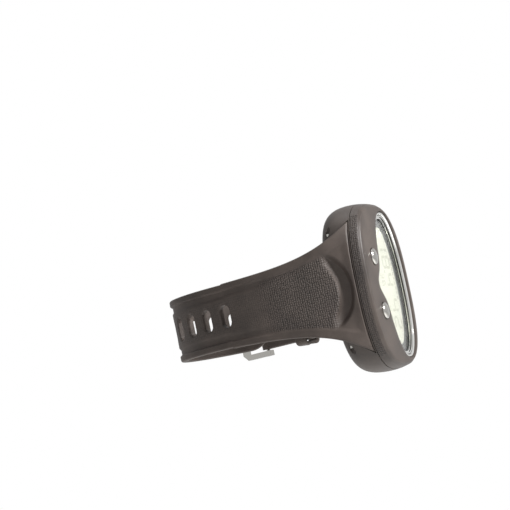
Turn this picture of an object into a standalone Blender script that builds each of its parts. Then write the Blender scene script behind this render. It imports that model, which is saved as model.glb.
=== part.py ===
"""Wrist dive computer with its two rubber straps, built as the loose pieces it comes apart into.

Frame, in metres: the origin is the centre of the flat case back. -Y leaves the display towards
the eye, +Y points into the wrist. +Z runs along the forearm, which is the long side of the case.
-X is the 6 o'clock side with the buttons and the long slotted strap, +X the 12 o'clock side with
the short strap and its buckle. All sizes below are millimetres.
"""
import math

import bmesh
import bpy
import numpy as np

MM = 0.001

# ---------------------------------------------------------------- driving sizes
CASE_LENGTH = 75.0          # along the forearm
CASE_WIDTH = 63.0           # across the forearm
CASE_POWER = 2.8            # squareness of the case outline
FACE_DEPTH = 19.0           # case back to the front of the rim
SHELF = -8.6                # floor of the front pocket
BEZEL_DEPTH = 4.7           # rim to the seam with the case body
WAIST_DEPTH = 10.0          # case back to the widest section
BACK_DRAW = 5.5             # how far the outline shrinks from the waist to the back
FRONT_DRAW_Z = 1.6          # and from the waist to the rim, along the forearm
FRONT_DRAW_X = 1.0          # and across it
RIM_ROUND = 1.2             # rounding of the rim's outer edge
GAP = 0.3                   # clearance left between touching pieces

OPENING_CENTRE = 9.5        # the display opening sits towards 12 o'clock
OPENING_POWER = 2.2
SIDE_RIM = 4.2              # rim left at the ends of the opening
FAR_RIM = 4.0               # rim left at 12 o'clock, from the case's widest outline
TONGUE_REACH = 7.0          # the opening's bulge between the buttons
TONGUE_SPREAD = 6.0

TRIM_LIP = 3.4              # polished ring, from its outside to the edge of the visible glass
TRIM_WALL = 0.8
TRIM_SINK = 0.6             # ring front below the rim
GLASS_THICK = 1.5
GLASS_SINK = 2.4            # glass front below the rim
GASKET_THICK = 0.5
GASKET_WIDTH = 2.4
LCD_THICK = 1.4
LCD_BORDER = 2.0
LIGHT_THICK = 0.8
LIGHT_GAP = 2.6             # room for the zebra strips beside the light plate
ZEBRA_WIDTH = 1.6
ZEBRA_LENGTH = 9.0
BOARD_THICK = 1.0

BUTTON_AWAY = 7.5           # button axis from the near side of the opening's oval
BUTTON_Z = 12.0
BUTTON_DIAMETER = 7.3
BUTTON_PROUD = 1.6
BUTTON_TRAVEL = 1.0
CAP_SKIRT = 0.9             # straight wall of a button under its dome
STEM_RADIUS = 1.2
WELL_RADIUS = 3.2
SPRING_DEPTH = 2.8          # depth of a button's round pocket in the rim
STEM_SEAL_DEEP = 1.0
STEM_PAST_SEAM = 2.3
SWITCH_SIZE = 3.4
SWITCH_HEIGHT = 2.1

COVER_INSET_Z = 7.0         # from the case's widest outline to the back cover
COVER_INSET_X = 10.5
COVER_CORNER = 9.0
COVER_THICK = 2.0
SEAL_INSET = 2.6            # cover edge to the outside of its gasket
SEAL_WIDTH = 1.8
SEAL_THICK = 0.9
SEAL_CORNER = 11.0
POCKET_INSET = 6.2          # cover edge to the rear pocket
POCKET_CORNER = 9.0
SCREW_INSET = 3.9
SCREW_HEAD = 1.7
SCREW_SHANK = 0.8
SCREW_LENGTH = 6.0

CELL_RADIUS = 10.0          # lithium coin cell
CELL_THICK = 3.2
CAP_FLANGE = 1.8            # battery cap flange beyond the cell
CAP_FLANGE_THICK = 1.3
SENSOR_RADIUS = 3.0
SENSOR_X = 2.2
SENSOR_Z = -17.8
BUZZER_RADIUS = 6.0
BUZZER_X = 8.6
BUZZER_Z = -10.8
BUZZER_THICK = 2.8

STRAP_WIDTH = 28.0
STRAP_THICK = 3.4
FLARE_EXTRA = 15.0          # half-width the strap end gains at the case
FLARE_FADE = 16.0           # length over which it fades
WRIST_HALF = 34.0           # strap centre line from the case's middle plane
WRIST_CENTRE = 33.0         # case back to the widest point of the loop
WRIST_REACH = 49.3          # loop centre to the strap behind the wrist
HOOD_DEPTH = 13.3           # strap end's front edge from the case back
LONG_HINGE = 22.0           # where each strap leaves its stiff end
SHORT_HINGE = 16.0
TAIL_ANGLE = 157.0          # where the long strap ends on its ellipse, in degrees
SLOT_START = 16.7           # first slot on that ellipse, in degrees
SLOT_PITCH = 10.3
SLOT_COUNT = 9
SLOT_LENGTH = 10.0          # across the strap
SLOT_WIDTH = 4.8
EDGE_CHAMFER = 0.6

ROOT_BLOCK_HALF = 17.0      # thick end under the flare that the pin goes through
ROOT_BLOCK_SINK = 8.5       # its inner face from the case's side
ROOT_BLOCK_DEEP = 7.4
ROOT_BLOCK_BACK = 0.8       # case back to the block
PIN_SINK = 5.7              # strap pin's axis from the case's side
PIN_Y = -4.0
PIN_RADIUS = 0.9
PIN_HALF = 25.2             # half a strap pin's length

SHORT_LENGTH = 45.5         # hinge to buckle pin
SHORT_LEAN = 15.0           # degrees
BARREL_RADIUS = 2.6
BUCKLE_PIN_RADIUS = 0.9
BUCKLE_REACH = 14.0
BUCKLE_BAR = 2.6
BUCKLE_THICK = 3.0
BUCKLE_SIDE_GAP = 0.6
TONGUE_WIDTH = 3.6
TONGUE_THICK = 1.4
NOTCH_DEPTH = 4.5
KEEPER_PLACE = 24.0         # from the hinge along the short strap
KEEPER_WIDTH = 6.0
KEEPER_WALL = 1.8
KEEPER_ROOM = 7.0           # clear height outside the strap's middle, for the tail

OUTLINE_POINTS = 56
ROUND_POINTS = 18
ACROSS_POINTS = 11          # across a strap end
ALONG_POINTS = 12           # and along it
FRONT_STEPS = 39            # of the long strap's centre line before the ellipse
AROUND_STEPS = 600          # and on it
FAR = 45.0                  # half the length of a boring tool, past every piece

# ---------------------------------------------------------------- derived sizes
HALF_Z = CASE_LENGTH / 2
HALF_X = CASE_WIDTH / 2
SEAM = -(FACE_DEPTH - BEZEL_DEPTH)              # bezel's back face
BODY_FRONT = SEAM + GAP
OPEN_HALF_Z = HALF_Z - SIDE_RIM
OPEN_HALF_X = HALF_X - FAR_RIM - OPENING_CENTRE
BUTTON_X = OPENING_CENTRE - OPEN_HALF_X - BUTTON_AWAY
TRIM_FRONT = -(FACE_DEPTH - TRIM_SINK)
GLASS_FRONT = -(FACE_DEPTH - GLASS_SINK)
GLASS_BACK = GLASS_FRONT + GLASS_THICK
GLASS_INSET = TRIM_WALL + 2 * GAP
GASKET_FRONT = GLASS_BACK + GAP
POCKET_FRONT_INSET = GLASS_INSET + GASKET_WIDTH + 0.4
LCD_FRONT = GLASS_BACK + 0.5
LCD_BACK = LCD_FRONT + LCD_THICK
LIGHT_FRONT = LCD_BACK + GAP
BOARD_FRONT = LIGHT_FRONT + LIGHT_THICK + 2 * GAP
BOARD_BACK = BOARD_FRONT + BOARD_THICK
COVER_HALF_Z = HALF_Z - COVER_INSET_Z
COVER_HALF_X = HALF_X - COVER_INSET_X
LEDGE = -(COVER_THICK + SEAL_THICK + 2 * GAP)   # where the cover's gasket sits
POCKET_HALF_Z = COVER_HALF_Z - POCKET_INSET + 1.5
POCKET_HALF_X = COVER_HALF_X - POCKET_INSET
CAP_PLUG = 3.0                                  # battery cap's depth
CELL_BACK = -(CAP_PLUG + GAP)
CELL_FRONT = CELL_BACK - CELL_THICK
CELL_Z = POCKET_HALF_Z - CELL_RADIUS - 1.3
ROOT_BLOCK_IN = HALF_X - ROOT_BLOCK_SINK
PIN_X = HALF_X - PIN_SINK
STRAP_HALF = STRAP_THICK / 2
HOOD_FRONT = -HOOD_DEPTH
LOOP_SAG = WRIST_HALF - (HALF_X - STRAP_HALF)   # how far the strap end leans in at the case
SPRING_SEAT = -(FACE_DEPTH - SPRING_DEPTH)
CAP_UNDER = -(FACE_DEPTH - CAP_SKIRT)           # underside of a button's head
STEM_SEAL_ROOM = STEM_RADIUS + 1.4
STEM_END = SEAM + STEM_PAST_SEAM
SWITCH_SEAT = STEM_END + BUTTON_TRAVEL + GAP + SWITCH_HEIGHT + GAP


# ---------------------------------------------------------------- materials
def material(name, red, green, blue, roughness, metallic=0.0):
    """A plain Principled material; the colour is linear RGB."""
    mat = bpy.data.materials.new(name)
    mat.use_nodes = True
    shader = mat.node_tree.nodes["Principled BSDF"]
    shader.inputs["Base Color"].default_value = (red, green, blue, 1.0)
    shader.inputs["Roughness"].default_value = roughness
    shader.inputs["Metallic"].default_value = metallic
    return mat


# ---------------------------------------------------------------- mesh helpers
def finish(name, bm, mat, sharp_degrees=35.0):
    """Turn a bmesh in millimetres into one named object in metres, its faces pointing out."""
    bmesh.ops.recalc_face_normals(bm, faces=bm.faces)
    bmesh.ops.scale(bm, vec=(MM, MM, MM), verts=bm.verts)
    mesh = bpy.data.meshes.new(name)
    bm.to_mesh(mesh)
    bm.free()
    mesh.shade_smooth()
    mesh.set_sharp_from_angle(angle=math.radians(sharp_degrees))
    if mat is not None:
        mesh.materials.append(mat)
    obj = bpy.data.objects.new(name, mesh)
    bpy.context.scene.collection.objects.link(obj)
    return obj


def skin(name, rings, mat, closed=False):
    """A skin between equal rings of points: capped at both ends, or joined last to first."""
    bm = bmesh.new()
    loops = [[bm.verts.new(point) for point in ring] for ring in rings]
    pairs = list(zip(loops, loops[1:]))
    if closed:
        pairs.append((loops[-1], loops[0]))
    count = len(loops[0])
    for near, far in pairs:
        for i in range(count):
            j = (i + 1) % count
            bm.faces.new((near[i], near[j], far[j], far[i]))
    if not closed:
        bm.faces.new(loops[0])
        bm.faces.new(list(reversed(loops[-1])))
    bmesh.ops.triangulate(bm, faces=[face for face in bm.faces if len(face.verts) == 4])
    return finish(name, bm, mat)


def at_depth(outline, y):
    """Stand an x, z outline at one depth."""
    return np.column_stack([outline[:, 0], np.full(len(outline), y), outline[:, 1]])


def plate(name, outline, front, back, mat):
    """A flat plate with the given outline between two depths."""
    return skin(name, [at_depth(outline, front), at_depth(outline, back)], mat)


def frame_plate(name, outer, inner, front, back, mat):
    """A flat frame: outer and inner outlines between two depths."""
    rings = [at_depth(outer, front), at_depth(outer, back), at_depth(inner, back), at_depth(inner, front)]
    return skin(name, rings, mat, closed=True)


def circle(radius, count=ROUND_POINTS, cx=0.0, cz=0.0):
    """Points of a circle in the x, z plane."""
    t = np.arange(count) * 2 * math.pi / count
    return np.column_stack([cx + radius * np.cos(t), cz + radius * np.sin(t)])


def superellipse(half_x, half_z, power, cx=0.0):
    """A rounded-rectangle curve: |x/a|^n + |z/b|^n = 1."""
    t = np.arange(OUTLINE_POINTS) * 2 * math.pi / OUTLINE_POINTS
    c, s = np.cos(t), np.sin(t)
    x = cx + half_x * np.sign(c) * np.abs(c) ** (2 / power)
    z = half_z * np.sign(s) * np.abs(s) ** (2 / power)
    return np.column_stack([x, z])


def rounded_rectangle(half_x, half_z, radius, per_corner=6):
    """A rectangle with round corners, counter-clockwise."""
    points = []
    for k, (sx, sz) in enumerate(((1, 1), (-1, 1), (-1, -1), (1, -1))):
        for a in np.linspace(k * 90, k * 90 + 90, per_corner):
            x = sx * (half_x - radius) + radius * math.cos(math.radians(a))
            z = sz * (half_z - radius) + radius * math.sin(math.radians(a))
            points.append((x, z))
    return np.array(points)


def inset(outline, distance):
    """Move each point of a counter-clockwise outline inwards along its own normal."""
    tangent = np.roll(outline, -1, axis=0) - np.roll(outline, 1, axis=0)
    normal = np.column_stack([tangent[:, 1], -tangent[:, 0]])
    normal /= np.linalg.norm(normal, axis=1)[:, None]
    return outline - distance * normal


def lathe(name, profile, x, z, mat, count=ROUND_POINTS):
    """Turn a profile of (radius, y) about an axis along Y. A zero radius closes an end."""
    bm = bmesh.new()
    t = np.arange(count) * 2 * math.pi / count
    loops = []
    for radius, y in profile:
        if radius == 0:
            loops.append([bm.verts.new((x, y, z))])
        else:
            ring = zip(x + radius * np.cos(t), z + radius * np.sin(t))
            loops.append([bm.verts.new((px, y, pz)) for px, pz in ring])
    solid = profile[0][0] == 0
    pairs = list(zip(loops, loops[1:]))
    if not solid:
        pairs.append((loops[-1], loops[0]))
    for near, far in pairs:
        for i in range(count):
            j = (i + 1) % count
            if len(near) == 1:
                bm.faces.new((near[0], far[j], far[i]))
            elif len(far) == 1:
                bm.faces.new((near[i], near[j], far[0]))
            else:
                bm.faces.new((near[i], near[j], far[j], far[i]))
    return finish(name, bm, mat)


def o_ring(name, major, minor, x, y, z, mat):
    """A round ring of round section, its axis along Y."""
    t = np.arange(6) * 2 * math.pi / 6
    profile = [(major + minor * math.cos(a), y + minor * math.sin(a)) for a in t]
    return lathe(name, profile, x, z, mat)


def bar_along_z(name, x, y, radius, z0, z1, mat, count=16):
    """A round bar along the forearm."""
    t = np.arange(count) * 2 * math.pi / count
    rings = [np.column_stack([x + radius * np.cos(t), y + radius * np.sin(t), np.full(count, z)])
             for z in (z0, z1)]
    return skin(name, rings, mat)


def block(name, low, high, mat, bevel=0.0):
    """A box between two corners, with its edges eased where a bevel is given."""
    (x0, y0, z0), (x1, y1, z1) = low, high
    outline = np.array([(x0, z0), (x1, z0), (x1, z1), (x0, z1)])
    obj = plate(name, outline, y0, y1, mat)
    if bevel:
        ease = obj.modifiers.new("ease", "BEVEL")
        ease.width = bevel * MM
        ease.segments = 1
    return obj


def cut(target, cutter):
    """Take one solid out of another, and keep the cutter as a hidden guide."""
    cutter.hide_render = True
    cutter.display_type = "WIRE"
    tool = target.modifiers.new("cut_" + cutter.name, "BOOLEAN")
    tool.operation = "DIFFERENCE"
    tool.solver = "EXACT"
    tool.object = cutter


def join(target, other):
    """Add one solid to another, and keep the added one as a hidden guide."""
    cut(target, other)
    target.modifiers[-1].operation = "UNION"


def set_origin(obj, x, y, z):
    """Move an object's origin to a point in millimetres, leaving its shape where it is."""
    shift = np.array([x, y, z]) * MM
    for vertex in obj.data.vertices:
        vertex.co = vertex.co - vertex.co.__class__(shift)
    obj.location = shift


# ---------------------------------------------------------------- outlines
def case_outline(y, extra=0.0):
    """The case's outside at a depth: full at the waist, drawn in towards the back and the rim."""
    back = max(0.0, (y + WAIST_DEPTH) / WAIST_DEPTH)
    front = max(0.0, -(y + WAIST_DEPTH) / (FACE_DEPTH - WAIST_DEPTH))
    draw = BACK_DRAW * (1 - math.sqrt(1 - min(back, 1.0) ** 2.5))
    half_z = HALF_Z - draw - FRONT_DRAW_Z * front ** 2
    half_x = HALF_X - 0.8 * draw - FRONT_DRAW_X * front ** 2
    return superellipse(half_x + extra, half_z + extra, CASE_POWER)


def opening_outline(distance):
    """The display opening, moved inwards: an off-centre oval with a bulge between the buttons."""
    outline = superellipse(OPEN_HALF_X, OPEN_HALF_Z, OPENING_POWER, OPENING_CENTRE)
    near = outline[:, 0] < OPENING_CENTRE
    outline[near, 0] -= TONGUE_REACH * np.exp(-(outline[near, 1] / TONGUE_SPREAD) ** 2)
    return inset(outline, distance)


# ---------------------------------------------------------------- straps
def loop_x(y):
    """Strap centre line in front of the loop's widest point: a shallow parabola."""
    return WRIST_HALF - LOOP_SAG * ((WRIST_CENTRE - y) / (WRIST_CENTRE + HOOD_DEPTH)) ** 2


def flare_half(y):
    """Half the strap's width, which swells towards the case."""
    return STRAP_WIDTH / 2 + FLARE_EXTRA * np.exp(-(y + HOOD_DEPTH) / FLARE_FADE)


def root_surface(y, z, grow):
    """Distance of the strap end from the middle plane; it wraps the case and straightens out."""
    case = HALF_X * (1 - (np.abs(z) / HALF_Z) ** CASE_POWER) ** (1 / CASE_POWER)
    wrap = np.clip((8.0 - y) / (8.0 + HOOD_DEPTH), 0.0, 1.0) ** 1.5
    return loop_x(y) + grow - (HALF_X - case) * wrap


def root_rings(side, hinge, outer, inner, widen, front):
    """Closed sections of a strap end from the hood to its hinge, for the solid or its cutter."""
    rings = []
    for y in np.linspace(front, hinge, ALONG_POINTS):
        half = flare_half(y) + widen
        z = np.linspace(-half, half, ACROSS_POINTS)
        top = np.column_stack([side * root_surface(y, z, outer), np.full(ACROSS_POINTS, y), z])
        low = np.column_stack([side * root_surface(y, z, inner), np.full(ACROSS_POINTS, y), z])
        rings.append(np.vstack([top, low[::-1]]))
    return rings


def strap_root(name, side, hinge, rubber):
    """The wide stiff end of a strap: a wrapped flare, a thick block for the pin, a round seat."""
    root = skin(name, root_rings(side, hinge, STRAP_HALF, -STRAP_HALF, 0.0, HOOD_FRONT), rubber)
    low_x, high_x = sorted((side * ROOT_BLOCK_IN, side * (loop_x(PIN_Y) - STRAP_HALF / 2)))
    heel = block(name + "_heel", (low_x, -ROOT_BLOCK_DEEP, -ROOT_BLOCK_HALF),
                 (high_x, -ROOT_BLOCK_BACK, ROOT_BLOCK_HALF), None)
    join(root, heel)
    cut(root, bar_along_z(name + "_bore", side * PIN_X, PIN_Y, PIN_RADIUS + GAP, -FAR, FAR, None))
    seat = bar_along_z(name + "_seat", side * loop_x(hinge), hinge, STRAP_HALF + GAP, -FAR, FAR, None, 32)
    cut(root, seat)
    return root


def case_strap_cutters(name, side):
    """Room in the case body for a strap end: its flare, its block and its pin."""
    flare = root_rings(side, 12.0, 30.0, -STRAP_HALF - GAP, GAP, HOOD_FRONT - GAP)
    low_x, high_x = sorted((side * (ROOT_BLOCK_IN - GAP), side * 60.0))
    heel = block(name + "_heel_room", (low_x, -ROOT_BLOCK_DEEP - GAP, -ROOT_BLOCK_HALF - GAP),
                 (high_x, 9.0, ROOT_BLOCK_HALF + GAP), None)
    bore = bar_along_z(name + "_bore_room", side * PIN_X, PIN_Y, PIN_RADIUS + GAP, -FAR, FAR, None)
    return [skin(name + "_flare_room", flare, None), heel, bore]


def loop_path():
    """Dense points of the long strap's centre line from its hinge, with distances along it."""
    y = np.linspace(LONG_HINGE, WRIST_CENTRE, FRONT_STEPS + 1)[:-1]
    a = np.radians(np.linspace(0, TAIL_ANGLE, AROUND_STEPS))
    front = np.column_stack([-loop_x(y), y])
    around = np.column_stack([-WRIST_HALF * np.cos(a), WRIST_CENTRE + WRIST_REACH * np.sin(a)])
    path = np.vstack([front, around])
    steps = np.linalg.norm(np.diff(path, axis=0), axis=1)
    return path, np.concatenate([[0], np.cumsum(steps)])


def path_frame(path, along, s):
    """Point, direction and outward normal of a path at a distance along it."""
    def point(d):
        return np.array([np.interp(d, along, path[:, 0]), np.interp(d, along, path[:, 1])])
    step = 0.05
    direction = point(min(s + step, along[-1])) - point(max(s - step, 0.0))
    direction /= np.linalg.norm(direction)
    return point(s), direction, np.array([-direction[1], direction[0]])


def strap_section(centre, normal, half_width, half_thick):
    """An eight-sided strap section: a rectangle with its corners taken off."""
    c = min(EDGE_CHAMFER, half_thick * 0.6)
    w, h = half_width, half_thick
    corners = [(w, h - c), (w - c, h), (c - w, h), (-w, h - c), (-w, c - h), (c - w, -h), (w - c, -h),
               (w, c - h)]
    return [(centre[0] + normal[0] * v, centre[1] + normal[1] * v, u) for u, v in corners]


def slot_cutter(name, centre, direction, normal):
    """A round-cornered slot tool standing across the strap."""
    outline = rounded_rectangle(SLOT_WIDTH / 2, SLOT_LENGTH / 2, SLOT_WIDTH / 2 - 0.1, 5)
    rings = []
    for reach in (-2 * STRAP_THICK, 2 * STRAP_THICK):
        base = centre + normal * reach
        rings.append([(base[0] + direction[0] * u, base[1] + direction[1] * u, v) for u, v in outline])
    return skin(name, rings, None)


def long_strap_band(rubber):
    """The slotted strap: round at its hinge, round at its tail, slots at an even pitch."""
    path, along = loop_path()
    length = along[-1]
    start, heading, normal = path_frame(path, along, 0.0)
    rings = []
    for a in (12, 35, 60):
        centre = start - heading * STRAP_HALF * math.cos(math.radians(a))
        thick = STRAP_HALF * math.sin(math.radians(a))
        rings.append(strap_section(centre, normal, STRAP_WIDTH / 2, thick))
    tail_round = STRAP_WIDTH / 2 - 4.0
    body = np.linspace(0.0, length - tail_round, 42)
    tail = length - tail_round * (1 - np.sin(np.radians(np.arange(15, 90, 15))))
    for s in np.concatenate([body, tail]):
        centre, heading, normal = path_frame(path, along, s)
        into = max(0.0, (s - (length - tail_round)) / tail_round)
        half = STRAP_WIDTH / 2 - tail_round * (1 - math.sqrt(max(0.0, 1 - into ** 2)))
        rings.append(strap_section(centre, normal, half, STRAP_HALF))
    band = skin("long_strap_band", rings, rubber)
    first = np.interp(SLOT_START, np.linspace(0, TAIL_ANGLE, AROUND_STEPS), along[FRONT_STEPS:])
    for k in range(SLOT_COUNT):
        centre, heading, normal = path_frame(path, along, first + k * SLOT_PITCH)
        cut(band, slot_cutter(f"slot_room_{k + 1}", centre, heading, normal))
    set_origin(band, path[0, 0], path[0, 1], 0.0)
    return band


def lean_frame():
    """Hinge point of the short strap, its direction and its outward normal."""
    lean = math.radians(SHORT_LEAN)
    heading = np.array([math.sin(lean), math.cos(lean)])
    return np.array([loop_x(SHORT_HINGE), SHORT_HINGE]), heading, np.array([heading[1], -heading[0]])


def prism_on_strap(name, outline, z0, z1, mat):
    """Extrude an outline of (along, outward) points from the buckle pin between two heights."""
    base, heading, normal = lean_frame()
    base = base + heading * SHORT_LENGTH
    rings = []
    for z in (z0, z1):
        ring = [base + heading * s + normal * n for s, n in outline]
        rings.append([(x, y, z) for x, y in ring])
    return skin(name, rings, mat)


def face_on_strap(name, outline, low, high, mat):
    """Extrude an outline of (along, z) points through the buckle's thickness."""
    base, heading, normal = lean_frame()
    base = base + heading * SHORT_LENGTH
    rings = []
    for n in (low, high):
        ring = [(base + heading * s + normal * n, z) for s, z in outline]
        rings.append([(p[0], p[1], z) for p, z in ring])
    return skin(name, rings, mat)


def short_strap_band(rubber):
    """The buckle strap: round at its hinge, a barrel round the pin, a notch for the tongue."""
    base, heading, normal = lean_frame()
    rings = []
    for a in (12, 35, 60, 90):
        centre = base - heading * STRAP_HALF * math.cos(math.radians(a))
        rings.append(strap_section(centre, normal, STRAP_WIDTH / 2, STRAP_HALF * math.sin(math.radians(a))))
    for s in np.linspace(5.0, SHORT_LENGTH - 6.0, 8):
        rings.append(strap_section(base + heading * s, normal, STRAP_WIDTH / 2, STRAP_HALF))
    swell = math.acos(STRAP_HALF / BARREL_RADIUS)
    for a in np.linspace(math.pi / 2 + swell, 12 * math.pi / 180, 9):
        centre = base + heading * (SHORT_LENGTH + BARREL_RADIUS * math.cos(a))
        rings.append(strap_section(centre, normal, STRAP_WIDTH / 2, BARREL_RADIUS * math.sin(a)))
    band = skin("short_strap_band", rings, rubber)
    pin = base + heading * SHORT_LENGTH
    cut(band, bar_along_z("buckle_bore_room", pin[0], pin[1], BUCKLE_PIN_RADIUS + GAP, -FAR, FAR, None))
    notch = [(-NOTCH_DEPTH, -9), (9, -9), (9, 9), (-NOTCH_DEPTH, 9)]
    half = TONGUE_WIDTH / 2 + GAP
    cut(band, prism_on_strap("notch_room", notch, -half, half, None))
    set_origin(band, base[0], base[1], 0.0)
    return band


def buckle(steel):
    """Frame with two eyes, bar and tongue on a pin, and the loop that keeps the tail."""
    base, heading, normal = lean_frame()
    pin = base + heading * SHORT_LENGTH
    inner = STRAP_WIDTH / 2 + BUCKLE_SIDE_GAP
    outer = inner + BUCKLE_BAR
    frame_outline = [(-2.0, inner), (-2.0, outer), (BUCKLE_REACH - 2.5, outer), (BUCKLE_REACH, outer - 2.5),
                     (BUCKLE_REACH, 2.5 - outer), (BUCKLE_REACH - 2.5, -outer), (-2.0, -outer),
                     (-2.0, -inner),
                     (BUCKLE_REACH - BUCKLE_BAR, -inner), (BUCKLE_REACH - BUCKLE_BAR, inner)]
    frame = face_on_strap("buckle_frame", frame_outline, -BUCKLE_THICK / 2, BUCKLE_THICK / 2, steel)
    rest = [(BUCKLE_REACH - BUCKLE_BAR - 1, 0.3), (BUCKLE_REACH + 1, 0.3),
            (BUCKLE_REACH + 1, 5.0), (BUCKLE_REACH - BUCKLE_BAR - 1, 5.0)]
    cut(frame, prism_on_strap("tongue_rest_room", rest, -TONGUE_WIDTH, TONGUE_WIDTH, None))
    cut(frame, bar_along_z("frame_eye_room", pin[0], pin[1], BUCKLE_PIN_RADIUS + GAP, -FAR, FAR, None))
    ease = frame.modifiers.new("ease", "BEVEL")
    ease.width = 0.5 * MM
    ease.segments = 2
    ease.limit_method = "ANGLE"
    ease.angle_limit = math.radians(50)
    set_origin(frame, pin[0], pin[1], 0.0)

    eye = 2.0
    arc = [(eye * math.cos(math.radians(a)), eye * math.sin(math.radians(a))) for a in range(90, 331, 24)]
    top = eye
    low = top - TONGUE_THICK
    tongue_outline = arc + [(eye, low), (BUCKLE_REACH - 1.0, low), (BUCKLE_REACH, low + 0.4),
                            (BUCKLE_REACH, top)]
    tongue = prism_on_strap("buckle_tongue", tongue_outline, -TONGUE_WIDTH / 2, TONGUE_WIDTH / 2, steel)
    cut(tongue, bar_along_z("tongue_eye_room", pin[0], pin[1], BUCKLE_PIN_RADIUS + GAP, -FAR, FAR, None))
    set_origin(tongue, pin[0], pin[1], 0.0)

    bar_along_z("buckle_pin", pin[0], pin[1], BUCKLE_PIN_RADIUS, -outer + 0.4, outer - 0.4, steel)


def keeper(rubber):
    """A flat rubber loop that slides on the short strap."""
    base, heading, normal = lean_frame()
    inner_z = STRAP_WIDTH / 2 + 0.5
    low = -STRAP_HALF - 0.5
    rings = []
    for s in (KEEPER_PLACE - KEEPER_WIDTH / 2, KEEPER_PLACE + KEEPER_WIDTH / 2):
        for grow in (KEEPER_WALL, 0.0):
            corners = rounded_rectangle((KEEPER_ROOM - low) / 2 + grow, inner_z + grow, 1.0 + grow, 4)
            middle = (KEEPER_ROOM + low) / 2
            ring = [(base + heading * s + normal * (middle + u), v) for u, v in corners]
            rings.append([(p[0], p[1], v) for p, v in ring])
    rings = [rings[0], rings[1], rings[3], rings[2]]
    obj = skin("strap_keeper", rings, rubber, closed=True)
    place = base + heading * KEEPER_PLACE
    set_origin(obj, place[0], place[1], 0.0)


# ---------------------------------------------------------------- case
def case_body(shell):
    """The moulded case: an outer loft hollowed from the front and from the back."""
    depths = (0.0, -0.5, -1.5, -3.0, -5.0, -7.5, -10.0, -12.0, BODY_FRONT)
    body = skin("case_body", [at_depth(case_outline(y), y) for y in depths], shell)
    cut(body, plate("front_room", opening_outline(POCKET_FRONT_INSET), BODY_FRONT - 2, SHELF, None))
    rear = rounded_rectangle(POCKET_HALF_X, POCKET_HALF_Z, POCKET_CORNER)
    cut(body, plate("rear_room", rear, SHELF - 1, LEDGE + 1, None))
    ledge = rounded_rectangle(COVER_HALF_X - SEAL_INSET + GAP, COVER_HALF_Z - SEAL_INSET + GAP, SEAL_CORNER)
    cut(body, plate("seal_room", ledge, LEDGE, 2.0, None))
    cover = rounded_rectangle(COVER_HALF_X + GAP, COVER_HALF_Z + GAP, COVER_CORNER + GAP)
    cut(body, plate("cover_room", cover, -COVER_THICK - GAP, 3.0, None))
    for side, name in ((-1, "long"), (1, "short")):
        for tool in case_strap_cutters(name, side):
            cut(body, tool)
    for number, z in enumerate((BUTTON_Z, -BUTTON_Z), start=1):
        well = circle(WELL_RADIUS, ROUND_POINTS, BUTTON_X, z)
        cut(body, plate(f"well_room_{number}", well, BODY_FRONT - 2, SWITCH_SEAT, None))
    for number, (x, z) in enumerate(screw_places(), start=1):
        hole = circle(SCREW_SHANK + GAP, 12, x, z)
        cut(body, plate(f"screw_room_{number}", hole, -SCREW_LENGTH - GAP, 1.0, None))
    return body


def front_bezel(shell):
    """The rim moulding: rounded outside, flat face, and the wavy opening for the trim ring."""
    outer = [at_depth(case_outline(y), y) for y in (SEAM, SEAM - 1.2, SEAM - 2.4, -(FACE_DEPTH - RIM_ROUND))]
    for a in (35, 65, 90):
        y = -(FACE_DEPTH - RIM_ROUND + RIM_ROUND * math.sin(math.radians(a)))
        shrink = -RIM_ROUND * (1 - math.cos(math.radians(a)))
        outer.append(at_depth(case_outline(-FACE_DEPTH, shrink), y))
    opening = opening_outline(0.0)
    rings = outer + [at_depth(opening, -FACE_DEPTH), at_depth(opening, SEAM)]
    bezel = skin("front_bezel", rings, shell, closed=True)
    for number, z in enumerate((BUTTON_Z, -BUTTON_Z), start=1):
        head = circle(BUTTON_DIAMETER / 2 + GAP, ROUND_POINTS, BUTTON_X, z)
        cut(bezel, plate(f"head_room_{number}", head, -FACE_DEPTH - 2, SPRING_SEAT, None))
        stem = circle(STEM_RADIUS + GAP, ROUND_POINTS, BUTTON_X, z)
        cut(bezel, plate(f"stem_room_{number}", stem, SPRING_SEAT - 1, SEAM + 1, None))
        seal = circle(STEM_SEAL_ROOM, ROUND_POINTS, BUTTON_X, z)
        cut(bezel, plate(f"seal_room_{number}", seal, SEAM - STEM_SEAL_DEEP, SEAM + 1, None))
    return bezel


def trim_ring(chrome):
    """The polished ring round the glass: a thin wall, then two bright steps down to the glass."""
    lip = -(FACE_DEPTH - GLASS_SINK + GAP)
    section = [(GAP, TRIM_FRONT + 0.2), (GAP, SEAM - 0.2), (GAP + TRIM_WALL, SEAM - 0.2),
               (GAP + TRIM_WALL, lip),
               (TRIM_LIP, lip), (TRIM_LIP, lip - 0.3), (2.3, lip - 0.5), (1.9, lip - 0.9),
               (0.9, TRIM_FRONT), (0.5, TRIM_FRONT)]
    rings = [at_depth(opening_outline(d), y) for d, y in section]
    return skin("trim_ring", rings, chrome, closed=True)


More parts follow.
